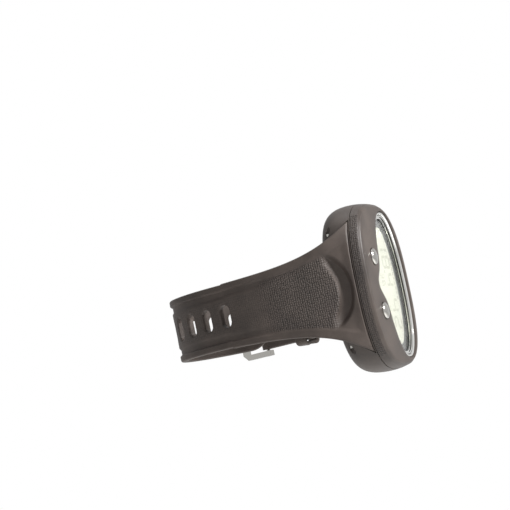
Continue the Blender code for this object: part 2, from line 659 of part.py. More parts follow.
def display_stack(mats):
    """Glass, gasket, liquid crystal cell in its frame, light plate, contact strips and board."""
    plate("display_glass", opening_outline(GLASS_INSET), GLASS_FRONT, GLASS_BACK, mats["glass"])
    frame_plate("glass_gasket", opening_outline(GLASS_INSET), opening_outline(GLASS_INSET + GASKET_WIDTH),
                GASKET_FRONT, GASKET_FRONT + GASKET_THICK, mats["seal"])
    frame_inset = POCKET_FRONT_INSET + GAP
    cell_inset = frame_inset + LCD_BORDER + GAP
    frame_plate("lcd_frame", opening_outline(frame_inset), opening_outline(frame_inset + LCD_BORDER),
                LCD_FRONT, LCD_BACK, mats["black"])
    plate("lcd_panel", opening_outline(cell_inset), LCD_FRONT, LCD_BACK, mats["lcd"])
    light_inset = frame_inset + LIGHT_GAP + ZEBRA_WIDTH
    plate("backlight_plate", opening_outline(light_inset), LIGHT_FRONT, LIGHT_FRONT + LIGHT_THICK,
          mats["white"])
    for name, side in (("zebra_strip_upper", 1), ("zebra_strip_lower", -1)):
        near = side * (OPEN_HALF_Z - light_inset + GAP)
        far = near + side * ZEBRA_WIDTH
        low_z, high_z = sorted((near, far))
        block(name, (OPENING_CENTRE - ZEBRA_LENGTH / 2, LIGHT_FRONT, low_z),
              (OPENING_CENTRE + ZEBRA_LENGTH / 2, BOARD_FRONT - GAP, high_z), mats["seal"])
    plate("main_board", opening_outline(frame_inset + GAP), BOARD_FRONT, BOARD_BACK, mats["board"])


def button(number, z, mats):
    """Domed cap with a stem, return spring, stem seal, retaining clip and the switch it presses."""
    radius = BUTTON_DIAMETER / 2
    rim = -(FACE_DEPTH + 0.3)
    dome = []
    for a in (0, 25, 50, 72):
        dome.append((radius * math.cos(math.radians(a)),
                     rim - (BUTTON_PROUD - 0.3) * math.sin(math.radians(a))))
    under = CAP_UNDER
    groove = SEAM + 0.6
    profile = [(0, -(FACE_DEPTH + BUTTON_PROUD))] + dome[::-1]
    profile += [(radius, under), (STEM_RADIUS, under), (STEM_RADIUS, groove), (STEM_RADIUS - 0.4, groove),
                (STEM_RADIUS - 0.4, groove + 1.0), (STEM_RADIUS, groove + 1.0),
                (STEM_RADIUS, STEM_END), (0, STEM_END)]
    cap = lathe(f"button_cap_{number}", profile, BUTTON_X, z, mats["steel"])
    set_origin(cap, BUTTON_X, rim, z)
    clip = [(STEM_RADIUS - 0.1, groove + 0.3), (STEM_RADIUS + 1.2, groove + 0.3),
            (STEM_RADIUS + 1.2, groove + 0.7), (STEM_RADIUS - 0.1, groove + 0.7)]
    lathe(f"button_clip_{number}", clip, BUTTON_X, z, mats["steel"], 16)
    o_ring(f"button_o_ring_{number}", STEM_RADIUS + 0.75, 0.4, BUTTON_X, SEAM - STEM_SEAL_DEEP / 2, z,
           mats["seal"])
    turns = 2.5
    steps = int(turns * 12)
    rings = []
    wire = 0.2
    coil = (radius + STEM_RADIUS) / 2
    low, high = under + wire + 0.1, SPRING_SEAT - wire - 0.1
    for k in range(steps + 1):
        a = 2 * math.pi * k / 12
        out = np.array([math.cos(a), 0.0, math.sin(a)])
        centre = np.array([BUTTON_X, low + (high - low) * k / steps, z]) + out * coil
        rings.append([centre + wire * (out * math.cos(b) + np.array([0, math.sin(b), 0]))
                      for b in np.arange(5) * 2 * math.pi / 5])
    skin(f"button_spring_{number}", rings, mats["steel"])
    half = SWITCH_SIZE / 2
    block(f"tact_switch_{number}", (BUTTON_X - half, SWITCH_SEAT - GAP - SWITCH_HEIGHT, z - half),
          (BUTTON_X + half, SWITCH_SEAT - GAP, z + half), mats["black"])


def screw_places():
    """Centres of the four back screws, inside the corners of the back cover."""
    x = COVER_HALF_X - SCREW_INSET
    z = COVER_HALF_Z - SCREW_INSET
    return [(x, z), (-x, z), (-x, -z), (x, -z)]


def back_parts(mats):
    """Cover with its gasket and screws, the battery cap with its O-ring, and the sensor's grille."""
    outline = rounded_rectangle(COVER_HALF_X, COVER_HALF_Z, COVER_CORNER)
    cover = plate("back_cover", outline, -COVER_THICK, 0.0, mats["shell"])
    flange = CELL_RADIUS + CAP_FLANGE
    cut(cover, plate("cap_room", circle(CELL_RADIUS + 1.6, 32, 0, CELL_Z), -COVER_THICK - 1, 1.0, None))
    cut(cover, plate("flange_room", circle(flange + GAP, 32, 0, CELL_Z), -CAP_FLANGE_THICK - GAP, 1.0, None))
    cut(cover, plate("grille_room", circle(SENSOR_RADIUS + 0.4 + GAP, 20, SENSOR_X, SENSOR_Z), -1.3, 1.0,
                     None))
    cut(cover, plate("port_room", circle(1.5, 12, SENSOR_X, SENSOR_Z), -COVER_THICK - 1, 1.0, None))
    for number, (x, z) in enumerate(screw_places(), start=1):
        cut(cover, plate(f"head_sink_{number}", circle(SCREW_HEAD + GAP, 16, x, z), -1.2, 1.0, None))
        cut(cover, plate(f"shank_sink_{number}", circle(SCREW_SHANK + GAP, 12, x, z), -COVER_THICK - 1,
                         1.0, None))
        profile = [(0, -0.2), (SCREW_HEAD, -0.2), (SCREW_HEAD, -0.9), (SCREW_SHANK, -0.9),
                   (SCREW_SHANK, -SCREW_LENGTH), (0, -SCREW_LENGTH)]
        screw = lathe(f"back_screw_{number}", profile, x, z, mats["steel"], 14)
        cut(screw, block(f"driver_slot_{number}", (x - 0.25, -0.55, z - 3), (x + 0.25, 1.0, z + 3), None))
    seal_x, seal_z = COVER_HALF_X - SEAL_INSET, COVER_HALF_Z - SEAL_INSET
    frame_plate("back_gasket", rounded_rectangle(seal_x, seal_z, SEAL_CORNER),
                rounded_rectangle(seal_x - SEAL_WIDTH, seal_z - SEAL_WIDTH, SEAL_CORNER - SEAL_WIDTH),
                LEDGE + GAP, LEDGE + GAP + SEAL_THICK, mats["seal"])

    plug = CELL_RADIUS + 0.2
    profile = [(0, -CAP_PLUG), (plug, -CAP_PLUG), (plug, -CAP_FLANGE_THICK), (flange, -CAP_FLANGE_THICK),
               (flange, -0.3), (flange - 0.2, -0.1), (0, -0.1)]
    cap = lathe("battery_cap", profile, 0.0, CELL_Z, mats["shell"], 32)
    cut(cap, block("coin_slot", (-6.0, -0.9, CELL_Z - 0.9), (6.0, 1.0, CELL_Z + 0.9), None))
    set_origin(cap, 0.0, 0.0, CELL_Z)
    o_ring("battery_cap_o_ring", CELL_RADIUS + 0.9, 0.35, 0.0, -CAP_FLANGE_THICK - 0.75, CELL_Z,
           mats["seal"])
    grille = lathe("sensor_grille", [(0, -0.9), (SENSOR_RADIUS + 0.4, -0.9), (SENSOR_RADIUS + 0.4, -0.15),
                                     (0, -0.15)],
                   SENSOR_X, SENSOR_Z, mats["steel"], 20)
    for number, x in enumerate((-1.6, 0.0, 1.6), start=1):
        cut(grille, block(f"grille_slit_{number}", (SENSOR_X + x - 0.3, -2.0, SENSOR_Z - 1.6),
                          (SENSOR_X + x + 0.3, 1.0, SENSOR_Z + 1.6), None))


def inner_parts(mats):
    """Cell, its two contacts, the pressure sensor and the buzzer."""
    cell = [(0, CELL_FRONT), (CELL_RADIUS - 1.2, CELL_FRONT), (CELL_RADIUS - 1.0, CELL_FRONT + 0.4),
            (CELL_RADIUS, CELL_FRONT + 0.8), (CELL_RADIUS, CELL_BACK), (0, CELL_BACK)]
    lathe("battery_cell", cell, 0.0, CELL_Z, mats["steel"])
    leaf = [(0.0, BOARD_BACK + GAP), (5.0, BOARD_BACK + GAP), (5.0, BOARD_BACK + GAP + 0.3),
            (2.0, BOARD_BACK + GAP + 0.3), (-2.0, CELL_FRONT - GAP), (-4.0, CELL_FRONT - GAP),
            (-4.0, CELL_FRONT - GAP - 0.3), (-2.2, CELL_FRONT - GAP - 0.3)]
    rings = [[(x, y, CELL_Z + z) for x, y in leaf] for z in (-1.5, 1.5)]
    skin("battery_contact_negative", rings, mats["brass"])
    side = CELL_RADIUS + GAP
    clip = [(side + 3.0, BOARD_BACK + GAP), (side, BOARD_BACK + GAP), (side, CELL_BACK - 0.5),
            (side + 0.3, CELL_BACK - 0.5), (side + 0.3, BOARD_BACK + GAP + 0.3),
            (side + 3.0, BOARD_BACK + GAP + 0.3)]
    rings = [[(x, y, CELL_Z + z) for x, y in clip] for z in (-1.5, 1.5)]
    skin("battery_contact_positive", rings, mats["brass"])
    top = BOARD_BACK + GAP
    sensor = [(0, top), (SENSOR_RADIUS, top), (SENSOR_RADIUS, top + 4.0), (SENSOR_RADIUS - 0.8, top + 4.0),
              (SENSOR_RADIUS - 0.8, top + 5.2), (0, top + 5.2)]
    lathe("pressure_sensor", sensor, SENSOR_X, SENSOR_Z, mats["steel"])
    buzzer = [(0, top), (BUZZER_RADIUS, top), (BUZZER_RADIUS, top + BUZZER_THICK), (0, top + BUZZER_THICK)]
    lathe("buzzer", buzzer, BUZZER_X, BUZZER_Z, mats["brass"])


def build():
    """Clear the file and make every piece."""
    for obj in list(bpy.data.objects):
        bpy.data.objects.remove(obj, do_unlink=True)
    mats = {
        "rubber": material("strap_rubber", 0.060, 0.053, 0.049, 0.62),
        "shell": material("case_plastic", 0.052, 0.047, 0.044, 0.48),
        "seal": material("silicone_seal", 0.020, 0.020, 0.020, 0.70),
        "black": material("black_nylon", 0.015, 0.015, 0.016, 0.55),
        "chrome": material("polished_trim", 0.78, 0.78, 0.77, 0.06, 1.0),
        "steel": material("stainless_steel", 0.56, 0.55, 0.53, 0.18, 1.0),
        "brass": material("contact_brass", 0.70, 0.52, 0.25, 0.30, 1.0),
        "glass": material("mineral_glass", 0.80, 0.82, 0.80, 0.03),
        "lcd": material("liquid_crystal_cell", 0.42, 0.44, 0.38, 0.25),
        "white": material("light_diffuser", 0.80, 0.80, 0.76, 0.50),
        "board": material("circuit_board", 0.03, 0.16, 0.07, 0.45),
    }
    case_body(mats["shell"])
    front_bezel(mats["shell"])
    trim_ring(mats["chrome"])
    display_stack(mats)
    for number, z in enumerate((BUTTON_Z, -BUTTON_Z), start=1):
        button(number, z, mats)
    back_parts(mats)
    inner_parts(mats)
    strap_root("long_strap_root", -1, LONG_HINGE, mats["rubber"])
    strap_root("short_strap_root", 1, SHORT_HINGE, mats["rubber"])
    for name, side in (("strap_pin_long", -1), ("strap_pin_short", 1)):
        bar_along_z(name, side * PIN_X, PIN_Y, PIN_RADIUS, -PIN_HALF, PIN_HALF, mats["steel"])
    long_strap_band(mats["rubber"])
    short_strap_band(mats["rubber"])
    buckle(mats["steel"])
    keeper(mats["rubber"])


build()
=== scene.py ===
# %% [markdown]
# # A wrist dive computer, dressed
# The frame holds every real piece of the computer at its real size. This lesson gives them their
# looks: moulded rubber, spark-eroded plastic, polished steel and a glass display. It starts by
# loading that frame.

# %% Load the frame
import math

import bmesh
import bpy
import numpy as np
from mathutils import Matrix, Vector


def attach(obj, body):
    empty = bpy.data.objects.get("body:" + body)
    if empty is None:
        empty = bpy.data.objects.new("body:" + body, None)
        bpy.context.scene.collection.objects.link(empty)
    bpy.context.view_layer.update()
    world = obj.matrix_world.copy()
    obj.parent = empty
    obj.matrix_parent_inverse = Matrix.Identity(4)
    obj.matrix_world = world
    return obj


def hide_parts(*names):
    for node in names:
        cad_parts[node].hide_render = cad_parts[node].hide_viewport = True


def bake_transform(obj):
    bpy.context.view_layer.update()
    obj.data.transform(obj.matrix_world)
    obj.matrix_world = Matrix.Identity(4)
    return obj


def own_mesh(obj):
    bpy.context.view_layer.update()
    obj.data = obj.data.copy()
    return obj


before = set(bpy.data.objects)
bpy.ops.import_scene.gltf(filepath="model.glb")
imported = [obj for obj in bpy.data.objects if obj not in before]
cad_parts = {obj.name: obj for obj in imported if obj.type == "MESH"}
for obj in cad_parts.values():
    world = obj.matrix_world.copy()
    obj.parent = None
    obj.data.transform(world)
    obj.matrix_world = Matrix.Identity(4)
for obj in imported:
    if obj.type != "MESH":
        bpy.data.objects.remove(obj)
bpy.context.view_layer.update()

# %% [markdown]
# ## Sizes
# Lengths are millimetres until they go into a mesh, because rubber relief is easier to think about
# in tenths of a millimetre. The case is an oval box, and the strap's centre line is a shallow
# parabola beside the case that runs into an ellipse round the wrist.

# %% Sizes shared by several pieces
MM = 0.001
HALF_Z = 37.5               # half the case along the forearm
HALF_X = 31.5               # and across it
CASE_POWER = 2.8
FACE = 19.0                 # back to rim
WAIST = 10.0                # back to the widest section
BACK_DRAW = 5.5
SEAM = -14.3                # back face of the rim moulding
GAP = 0.3
RIM_ROUND = 1.2
OPEN_X = 9.5                # centre of the display opening
OPEN_HALF_X = 18.0
OPEN_HALF_Z = 33.3
OPEN_POWER = 2.2
TONGUE = 7.0
TONGUE_SPREAD = 6.0
BUTTON = (-16.0, 12.0)      # x and height of a button
STRAP_HALF = 1.7            # half the strap's thickness
STRAP_WIDTH = 28.0
WRIST_HALF, WRIST_CENTRE, WRIST_REACH = 34.0, 33.0, 49.3
HOOD = 13.3
LONG_HINGE, SHORT_HINGE = 22.0, 16.0
TAIL_ANGLE = 157.0
SHORT_LEAN, SHORT_LENGTH = 15.0, 45.5
SLOT_PITCH, SLOT_COUNT = 10.3, 9
SLOT_LENGTH, SLOT_WIDTH = 10.0, 4.8
print("case", 2 * HALF_Z, "x", 2 * HALF_X, "x", FACE, "mm")

# %% [markdown]
# ## The camera
# The view is from the 6 o'clock side, a little from below, and the camera is tipped so that the
# forearm leans to the left. The lens is long, as for a product shot. The aim point is given beside
# the case back, which places the case in the right half of the square.

# %% Camera
VIEW_AZIMUTH, VIEW_ELEVATION, VIEW_ROLL = math.radians(-70.0), math.radians(-5.5), math.radians(11.8)
DISTANCE = 0.90
SHARPNESS = 2250.0          # how large a metre at the case shows, in steps of a 510-step square
AIM_RIGHT, AIM_UP = -0.0379, 0.0252
toward = Vector((math.sin(VIEW_AZIMUTH) * math.cos(VIEW_ELEVATION),
                 -math.cos(VIEW_AZIMUTH) * math.cos(VIEW_ELEVATION), math.sin(VIEW_ELEVATION)))
right = Vector((math.cos(VIEW_AZIMUTH), math.sin(VIEW_AZIMUTH), 0.0))
above = toward.cross(right)
axis_x = right * math.cos(VIEW_ROLL) - above * math.sin(VIEW_ROLL)
axis_y = right * math.sin(VIEW_ROLL) + above * math.cos(VIEW_ROLL)
aim = right * AIM_RIGHT + above * AIM_UP
camera_data = bpy.data.cameras.new("camera")
camera_data.sensor_width = 36.0
camera_data.lens = SHARPNESS * DISTANCE / 510 * 36.0
camera_data.clip_start = 0.01
camera = bpy.data.objects.new("camera", camera_data)
bpy.context.scene.collection.objects.link(camera)
camera.matrix_world = Matrix.Translation(aim + toward * DISTANCE) @ Matrix(
    (axis_x, axis_y, toward)).transposed().to_4x4()
bpy.context.scene.camera = camera
print("lens", round(camera_data.lens, 1), "mm")

# %% [markdown]
# ## Two small helpers
# A finish is chosen as a hex colour, the way a colour chart gives it, and turned into linear light
# once, here. Node trees are wired by one function, so that each finish below reads as a list of
# what the surface does.

# %% Colours and a node helper
def colour(text):
    """An sRGB hex colour as linear RGBA."""
    parts = [int(text[i:i + 2], 16) / 255 for i in (1, 3, 5)]
    return [c / 12.92 if c <= 0.04045 else ((c + 0.055) / 1.055) ** 2.4 for c in parts] + [1.0]


def add(tree, kind, settings=None, **inputs):
    """Add one node, set its properties, and fill or link its sockets by name."""
    made = tree.nodes.new(kind)
    for key, value in (settings or {}).items():
        setattr(made, key, value)
    for key, value in inputs.items():
        socket = made.inputs[int(key[1:])] if key[0] == "_" else made.inputs[key.replace("_", " ")]
        if isinstance(value, bpy.types.NodeSocket):
            tree.links.new(value, socket)
        else:
            socket.default_value = value
    return made


print("mid grey in linear light:", round(colour("#808080")[0], 3))

# %% [markdown]
# ## Light and background
# This is a small product studio. A soft lamp stands near the case on the right, so that its light
# falls off along the strap; a weaker one fills from the left and one hangs above. The room is dim,
# which keeps shadows soft but dark. It is brighter where a polished surface mirrors it, and white
# where the camera looks at it directly, so that the background stays clean. The floor is matt white
# paper with a little light of its own, so that it doesn't turn grey.

# %% World, lamps and floor
ROOM_LIGHT, MIRRORED_LIGHT = 0.10, 0.68
FLOOR_Z, FLOOR_REACH = -0.20, 1.0
scene = bpy.context.scene
scene.view_settings.view_transform = "Standard"
world = bpy.data.worlds.new("studio")
scene.world = world
world.use_nodes = True
tree = world.node_tree
tree.nodes.clear()
path = add(tree, "ShaderNodeLightPath")
seen = add(tree, "ShaderNodeMath", {"operation": "MAXIMUM"}, _0=path.outputs["Is Camera Ray"],
           _1=path.outputs["Is Transmission Ray"])
level = add(tree, "ShaderNodeMath", {"operation": "MULTIPLY_ADD"}, _0=path.outputs["Is Glossy Ray"],
            _1=MIRRORED_LIGHT, _2=ROOM_LIGHT)
plain = add(tree, "ShaderNodeBackground", Color=colour("#ffffff"), Strength=level.outputs[0])
bright = add(tree, "ShaderNodeBackground", Color=colour("#ffffff"), Strength=1.0)
mixed = add(tree, "ShaderNodeMixShader", _0=seen.outputs[0], _1=plain.outputs[0], _2=bright.outputs[0])
add(tree, "ShaderNodeOutputWorld", Surface=mixed.outputs[0])


def lamp(name, place, size, power):
    """A square soft lamp that looks at the case."""
    data = bpy.data.lights.new(name, "AREA")
    data.shape = "SQUARE"
    data.size = size
    data.energy = power
    obj = bpy.data.objects.new(name, data)
    scene.collection.objects.link(obj)
    obj.location = place
    obj.rotation_euler = (-Vector(place)).to_track_quat("-Z", "Y").to_euler()


lamp("key", toward * 0.20 + right * 0.36 + above * 0.25, 0.15, 5.2)
lamp("fill", toward * 0.9 - right * 0.7 + above * 0.3, 0.8, 1.1)
lamp("top", Vector((0.1, 0.1, 1.1)), 0.6, 3.0)

floor_mesh = bpy.data.meshes.new("floor")
corners = [(x * FLOOR_REACH, y * FLOOR_REACH, FLOOR_Z) for x, y in ((-1, -1), (1, -1), (1, 1), (-1, 1))]
floor_mesh.from_pydata(corners, [], [(0, 1, 2, 3)])
floor = bpy.data.objects.new("floor", floor_mesh)
scene.collection.objects.link(floor)
paper = bpy.data.materials.new("white_paper_sweep")
paper.use_nodes = True
paper_inputs = paper.node_tree.nodes["Principled BSDF"].inputs
paper_inputs["Base Color"].default_value = colour("#f4f4f2")
paper_inputs["Roughness"].default_value = 0.9
paper_inputs["Emission Color"].default_value = colour("#ffffff")
paper_inputs["Emission Strength"].default_value = 0.45
floor_mesh.materials.append(paper)
print("floor at", FLOOR_Z)

# %% [markdown]
# ## Moulded rubber and plastic
# A strap like this is moulded in one from soft rubber, and a case from glass-filled nylon, in steel
# moulds whose spark-eroded or etched walls leave a grain. Both are dark but never black, because
# the grain catches light. So each finish has a bump at the grain's real size and a little drift in
# gloss. Pebbles appear only where a mesh asks for them. Object coordinates keep the grain fixed to
# the piece.

# %% Moulded finishes
def moulded(name, base, tint, rough, grain_mm, grain_depth, pebble_mm=0.0, pebble_depth=0.0):
    """A moulded polymer: cloudy colour, fine spark grain, and pebbles where the mesh asks, with painted
    shade in their valleys.
    """
    mat = bpy.data.materials.new(name)
    mat.use_nodes = True
    tree = mat.node_tree
    shader = tree.nodes["Principled BSDF"]
    place = add(tree, "ShaderNodeTexCoord").outputs["Object"]
    cloud = add(tree, "ShaderNodeTexNoise", Vector=place, Scale=90.0, Detail=3.0)
    speck = add(tree, "ShaderNodeTexNoise", Vector=place, Scale=1 / (grain_mm * MM), Detail=4.0)
    both = add(tree, "ShaderNodeMath", {"operation": "MULTIPLY_ADD"}, _0=speck.outputs[0], _1=0.45,
               _2=cloud.outputs[0])
    tone = add(tree, "ShaderNodeValToRGB", _0=both.outputs[0])
    tone.color_ramp.elements[0].position = 0.42
    tone.color_ramp.elements[1].position = 0.98
    tone.color_ramp.elements[0].color = colour(base)
    tone.color_ramp.elements[1].color = colour(tint)
    tree.links.new(tone.outputs[0], shader.inputs["Base Color"])
    gloss = add(tree, "ShaderNodeMapRange", Value=cloud.outputs[0], _3=rough - 0.06, _4=rough + 0.07)
    tree.links.new(gloss.outputs[0], shader.inputs["Roughness"])
    fine = add(tree, "ShaderNodeBump", Height=speck.outputs[0], Strength=1.0, Distance=grain_depth * MM)
    normal = fine.outputs[0]
    if pebble_mm:
        mask = add(tree, "ShaderNodeAttribute", {"attribute_name": "pebble"}).outputs["Fac"]
        axes = add(tree, "ShaderNodeSeparateXYZ", Vector=place)
        side = add(tree, "ShaderNodeCombineXYZ", X=axes.outputs["Y"], Y=axes.outputs["Z"])
        cells = add(tree, "ShaderNodeTexVoronoi", {"feature": "F1", "voronoi_dimensions": "2D"},
                    Vector=side.outputs[0], Scale=1 / (pebble_mm * MM), Randomness=0.35)
        dome = add(tree, "ShaderNodeMapRange", Value=cells.outputs["Distance"], _1=0.15, _2=0.7,
                   _3=1.0, _4=0.0)
        height = add(tree, "ShaderNodeMath", {"operation": "MULTIPLY"}, _0=dome.outputs[0], _1=mask)
        raised = add(tree, "ShaderNodeBump", Height=height.outputs[0], Strength=1.0,
                     Distance=pebble_depth * MM, Normal=normal)
        normal = raised.outputs[0]
        # Painted shade: the base colour darkens towards #100e0d in the valleys between pebbles, as if
        # shadowed there.
        valley_shade = add(tree, "ShaderNodeMapRange", Value=cells.outputs["Distance"], _1=0.30, _2=0.62,
                     _3=0.0, _4=0.6)
        painted_valley_shade = add(tree, "ShaderNodeMath", {"operation": "MULTIPLY"}, _0=valley_shade.outputs[0], _1=mask)
        darker = add(tree, "ShaderNodeMix", {"data_type": "RGBA"}, _0=painted_valley_shade.outputs[0], _6=tone.outputs[0],
                     _7=colour("#100e0d"))
        tree.links.new(darker.outputs[2], shader.inputs["Base Color"])
    tree.links.new(normal, shader.inputs["Normal"])
    shader.inputs["Specular IOR Level"].default_value = 0.34
    return mat


# Strap rubber: moulded, matt, dusty brown-black, with a pebble grain about 1 mm across.
rubber = moulded("moulded_strap_rubber", "#322b27", "#4e4540", 0.58, 0.22, 0.018, 0.95, 0.30)
# Case and rim: glass-filled nylon with a fine spark grain that takes a soft highlight.
nylon = moulded("spark_grain_nylon", "#2c2623", "#453d38", 0.46, 0.28, 0.016, 0.85, 0.22)
# Seals and contact strips: smooth silicone, a quiet cold black beside the brown rubber.
silicone = moulded("smooth_black_silicone", "#17171a", "#222226", 0.45, 0.4, 0.004)
# Inside mouldings: plain black nylon, matt, so that they stay in the background.
inner_nylon = moulded("black_inner_nylon", "#151517", "#1f1f22", 0.55, 0.3, 0.01)
print("moulded finishes:", ", ".join(mat.name for mat in (rubber, nylon, silicone, inner_nylon)))

# %% [markdown]
# ## Metals, glass and the display
# The metal pieces are stainless steel and brass that could be turned, stamped or drawn, then
# polished, tumbled or brushed. What tells these finishes apart is how sharp the mirrored studio is
# and which way the scratches run, so one function takes both. The glass is clear and only its gloss
# varies. The display cell is pale and nearly matt, with very fine rows.

# %% Metals, glass and the display
def metal(name, base, rough, spread, scratch_mm, scratch_depth, stretch=(1, 1, 1)):
    """A finished metal: its roughness drifts, and faint scratches or turning marks break it."""
    mat = bpy.data.materials.new(name)
    mat.use_nodes = True
    tree = mat.node_tree
    shader = tree.nodes["Principled BSDF"]
    place = add(tree, "ShaderNodeTexCoord").outputs["Object"]
    pulled = add(tree, "ShaderNodeMapping", Vector=place, Scale=stretch)
    drift = add(tree, "ShaderNodeTexNoise", Vector=place, Scale=220.0, Detail=3.0)
    marks = add(tree, "ShaderNodeTexNoise", Vector=pulled.outputs[0], Scale=1 / (scratch_mm * MM),
                Detail=2.0)
    rough_out = add(tree, "ShaderNodeMapRange", Value=drift.outputs[0], _3=rough - spread, _4=rough + spread)
    tree.links.new(rough_out.outputs[0], shader.inputs["Roughness"])
    bump = add(tree, "ShaderNodeBump", Height=marks.outputs[0], Strength=1.0, Distance=scratch_depth * MM)
    tree.links.new(bump.outputs[0], shader.inputs["Normal"])
    shader.inputs["Base Color"].default_value = colour(base)
    shader.inputs["Metallic"].default_value = 1.0
    return mat


# Trim ring: stainless steel, mirror polished, so it shows the white studio and dark lines.
mirror_steel = metal("mirror_polished_steel", "#e9e9e6", 0.07, 0.03, 0.5, 0.0006)
# Grooves between the ring's bands: the same steel left blasted, its colour darkened with painted shade, so
# they read as thin dark lines.
groove_shade_steel = metal("blasted_groove_painted_shade", "#35342f", 0.45, 0.05, 0.3, 0.002)
# Buttons, buckle, pins: tumbled stainless steel, bright but softer.
tumbled_steel = metal("tumbled_stainless_steel", "#b5b3ae", 0.16, 0.05, 0.25, 0.0016)
# Cell can, sensor grille, springs: steel brushed along the forearm, so its highlight is streaked.
brushed_steel = metal("brushed_stainless_steel", "#c4c2bd", 0.30, 0.06, 0.12, 0.004, (1, 1, 0.06))
# Buzzer and cell contacts: stamped brass, warm against the dark inside.
brass = metal("stamped_brass", "#c9a85a", 0.32, 0.08, 0.3, 0.003)


def clear_glass():
    """Hardened mineral glass: clear, faintly green, with smears that only dull its gloss."""
    mat = bpy.data.materials.new("hardened_mineral_glass")
    mat.use_nodes = True
    tree = mat.node_tree
    shader = tree.nodes["Principled BSDF"]
    place = add(tree, "ShaderNodeTexCoord").outputs["Object"]
    smear = add(tree, "ShaderNodeTexNoise", Vector=place, Scale=120.0, Detail=4.0)
    rough = add(tree, "ShaderNodeMapRange", Value=smear.outputs[0], _1=0.45, _2=0.8, _3=0.01, _4=0.06)
    tree.links.new(rough.outputs[0], shader.inputs["Roughness"])
    shader.inputs["Base Color"].default_value = colour("#fbfdf9")
    shader.inputs["Transmission Weight"].default_value = 1.0
    shader.inputs["IOR"].default_value = 1.5
    return mat


glass = clear_glass()


def display_film():
    """A reflective liquid crystal cell: pale warm grey, with its fine electrode rows."""
    mat = bpy.data.materials.new("liquid_crystal_polariser")
    mat.use_nodes = True
    tree = mat.node_tree
    shader = tree.nodes["Principled BSDF"]
    place = add(tree, "ShaderNodeTexCoord").outputs["Object"]
    rows = add(tree, "ShaderNodeTexWave", {"bands_direction": "Z"}, Vector=place, Scale=700.0)
    cloud = add(tree, "ShaderNodeTexNoise", Vector=place, Scale=60.0, Detail=2.0)
    mixed = add(tree, "ShaderNodeMath", {"operation": "MULTIPLY_ADD"}, _0=rows.outputs["Fac"], _1=0.25,
                _2=cloud.outputs[0])
    tone = add(tree, "ShaderNodeValToRGB", _0=mixed.outputs[0])
    tone.color_ramp.elements[0].color = colour("#dcdaca")
    tone.color_ramp.elements[1].color = colour("#efede1")
    tree.links.new(tone.outputs[0], shader.inputs["Base Color"])
    shader.inputs["Roughness"].default_value = 0.35
    return mat


film = display_film()
# Segments of an idle display: only a shade darker than the cell.
segment_ink = moulded("idle_liquid_crystal", "#bcbaa8", "#c8c6b5", 0.4, 0.3, 0.001)
# Circuit board: green lacquer over glass cloth.
mask_green = moulded("green_solder_mask", "#14502b", "#1d6b3a", 0.35, 0.5, 0.01)
# Light plate: milky acrylic that would spread a lamp's light.
milk_plastic = moulded("milky_light_guide", "#e2e2dc", "#f2f2ee", 0.4, 0.5, 0.004)
print("materials:", len(bpy.data.materials))

# %% [markdown]
# ## Making a mesh from arrays
# A surface is a grid of points, one row per step along the piece and one column per step round or
# across it. The faces follow from the grid's size alone, so the points are worked out as whole
# arrays and the mesh is filled in one go.

# %% Grid helpers
SHARP_ANGLE = math.radians(40.0)    # a sharper bend than this is shaded as an edge


def grid_faces(rows, columns, wrap_rows=False, wrap_columns=False):
    """Quads of a grid of points, joined round where asked."""
    r, c = np.meshgrid(np.arange(rows if wrap_rows else rows - 1),
                       np.arange(columns if wrap_columns else columns - 1), indexing="ij")
    r2, c2 = (r + 1) % rows, (c + 1) % columns
    return np.stack([r * columns + c, r2 * columns + c, r2 * columns + c2, r * columns + c2],
                    -1).reshape(-1, 4)


def make(name, points, faces, mat=None):
    """A mesh object from points in millimetres and faces, shaded smooth but for real edges."""
    mesh = bpy.data.meshes.new(name)
    mesh.from_pydata((np.asarray(points).reshape(-1, 3) * MM).tolist(), [], [list(f) for f in faces])
    mesh.validate()
    if signed_volume(mesh) < 0:
        mesh.flip_normals()
    mesh.shade_smooth()
    mesh.set_sharp_from_angle(angle=SHARP_ANGLE)
    if mat is not None:
        mesh.materials.append(mat)
    obj = bpy.data.objects.new(name, mesh)
    scene.collection.objects.link(obj)
    return obj


def signed_volume(mesh):
    """Volume inside a closed mesh, negative where it is inside out."""
    mesh.calc_loop_triangles()
    points = np.empty(len(mesh.vertices) * 3)
    mesh.vertices.foreach_get("co", points)
    corners = np.empty(len(mesh.loop_triangles) * 3, dtype=np.int32)
    mesh.loop_triangles.foreach_get("vertices", corners)
    a, b, c = points.reshape(-1, 3)[corners.reshape(-1, 3)].transpose(1, 0, 2)
    return float(np.einsum("ij,ij->i", a, np.cross(b, c)).sum() / 6)


def superellipse(half_x, half_z, power, count, cx=0.0):
    """Points of |x/a|^n + |z/b|^n = 1, counter-clockwise."""
    t = np.arange(count) * 2 * math.pi / count
    c, s = np.cos(t), np.sin(t)
    return np.column_stack([cx + half_x * np.sign(c) * np.abs(c) ** (2 / power),
                            half_z * np.sign(s) * np.abs(s) ** (2 / power)])


def inset(outline, distance):
    """Each point of a counter-clockwise outline moved inwards along its own normal."""
    tangent = np.roll(outline, -1, axis=0) - np.roll(outline, 1, axis=0)
    normal = np.column_stack([tangent[:, 1], -tangent[:, 0]])
    return outline - distance * normal / np.linalg.norm(normal, axis=1)[:, None]


def at_depth(outline, y):
    """An x, z outline standing at one depth."""
    return np.column_stack([outline[:, 0], np.full(len(outline), y), outline[:, 1]])


def ring_solid(name, rings, mat):
    """A closed band: outlines joined in turn, the last one to the first."""
    rows, columns = len(rings), len(rings[0])
    return make(name, np.vstack(rings), grid_faces(rows, columns, True, True), mat)


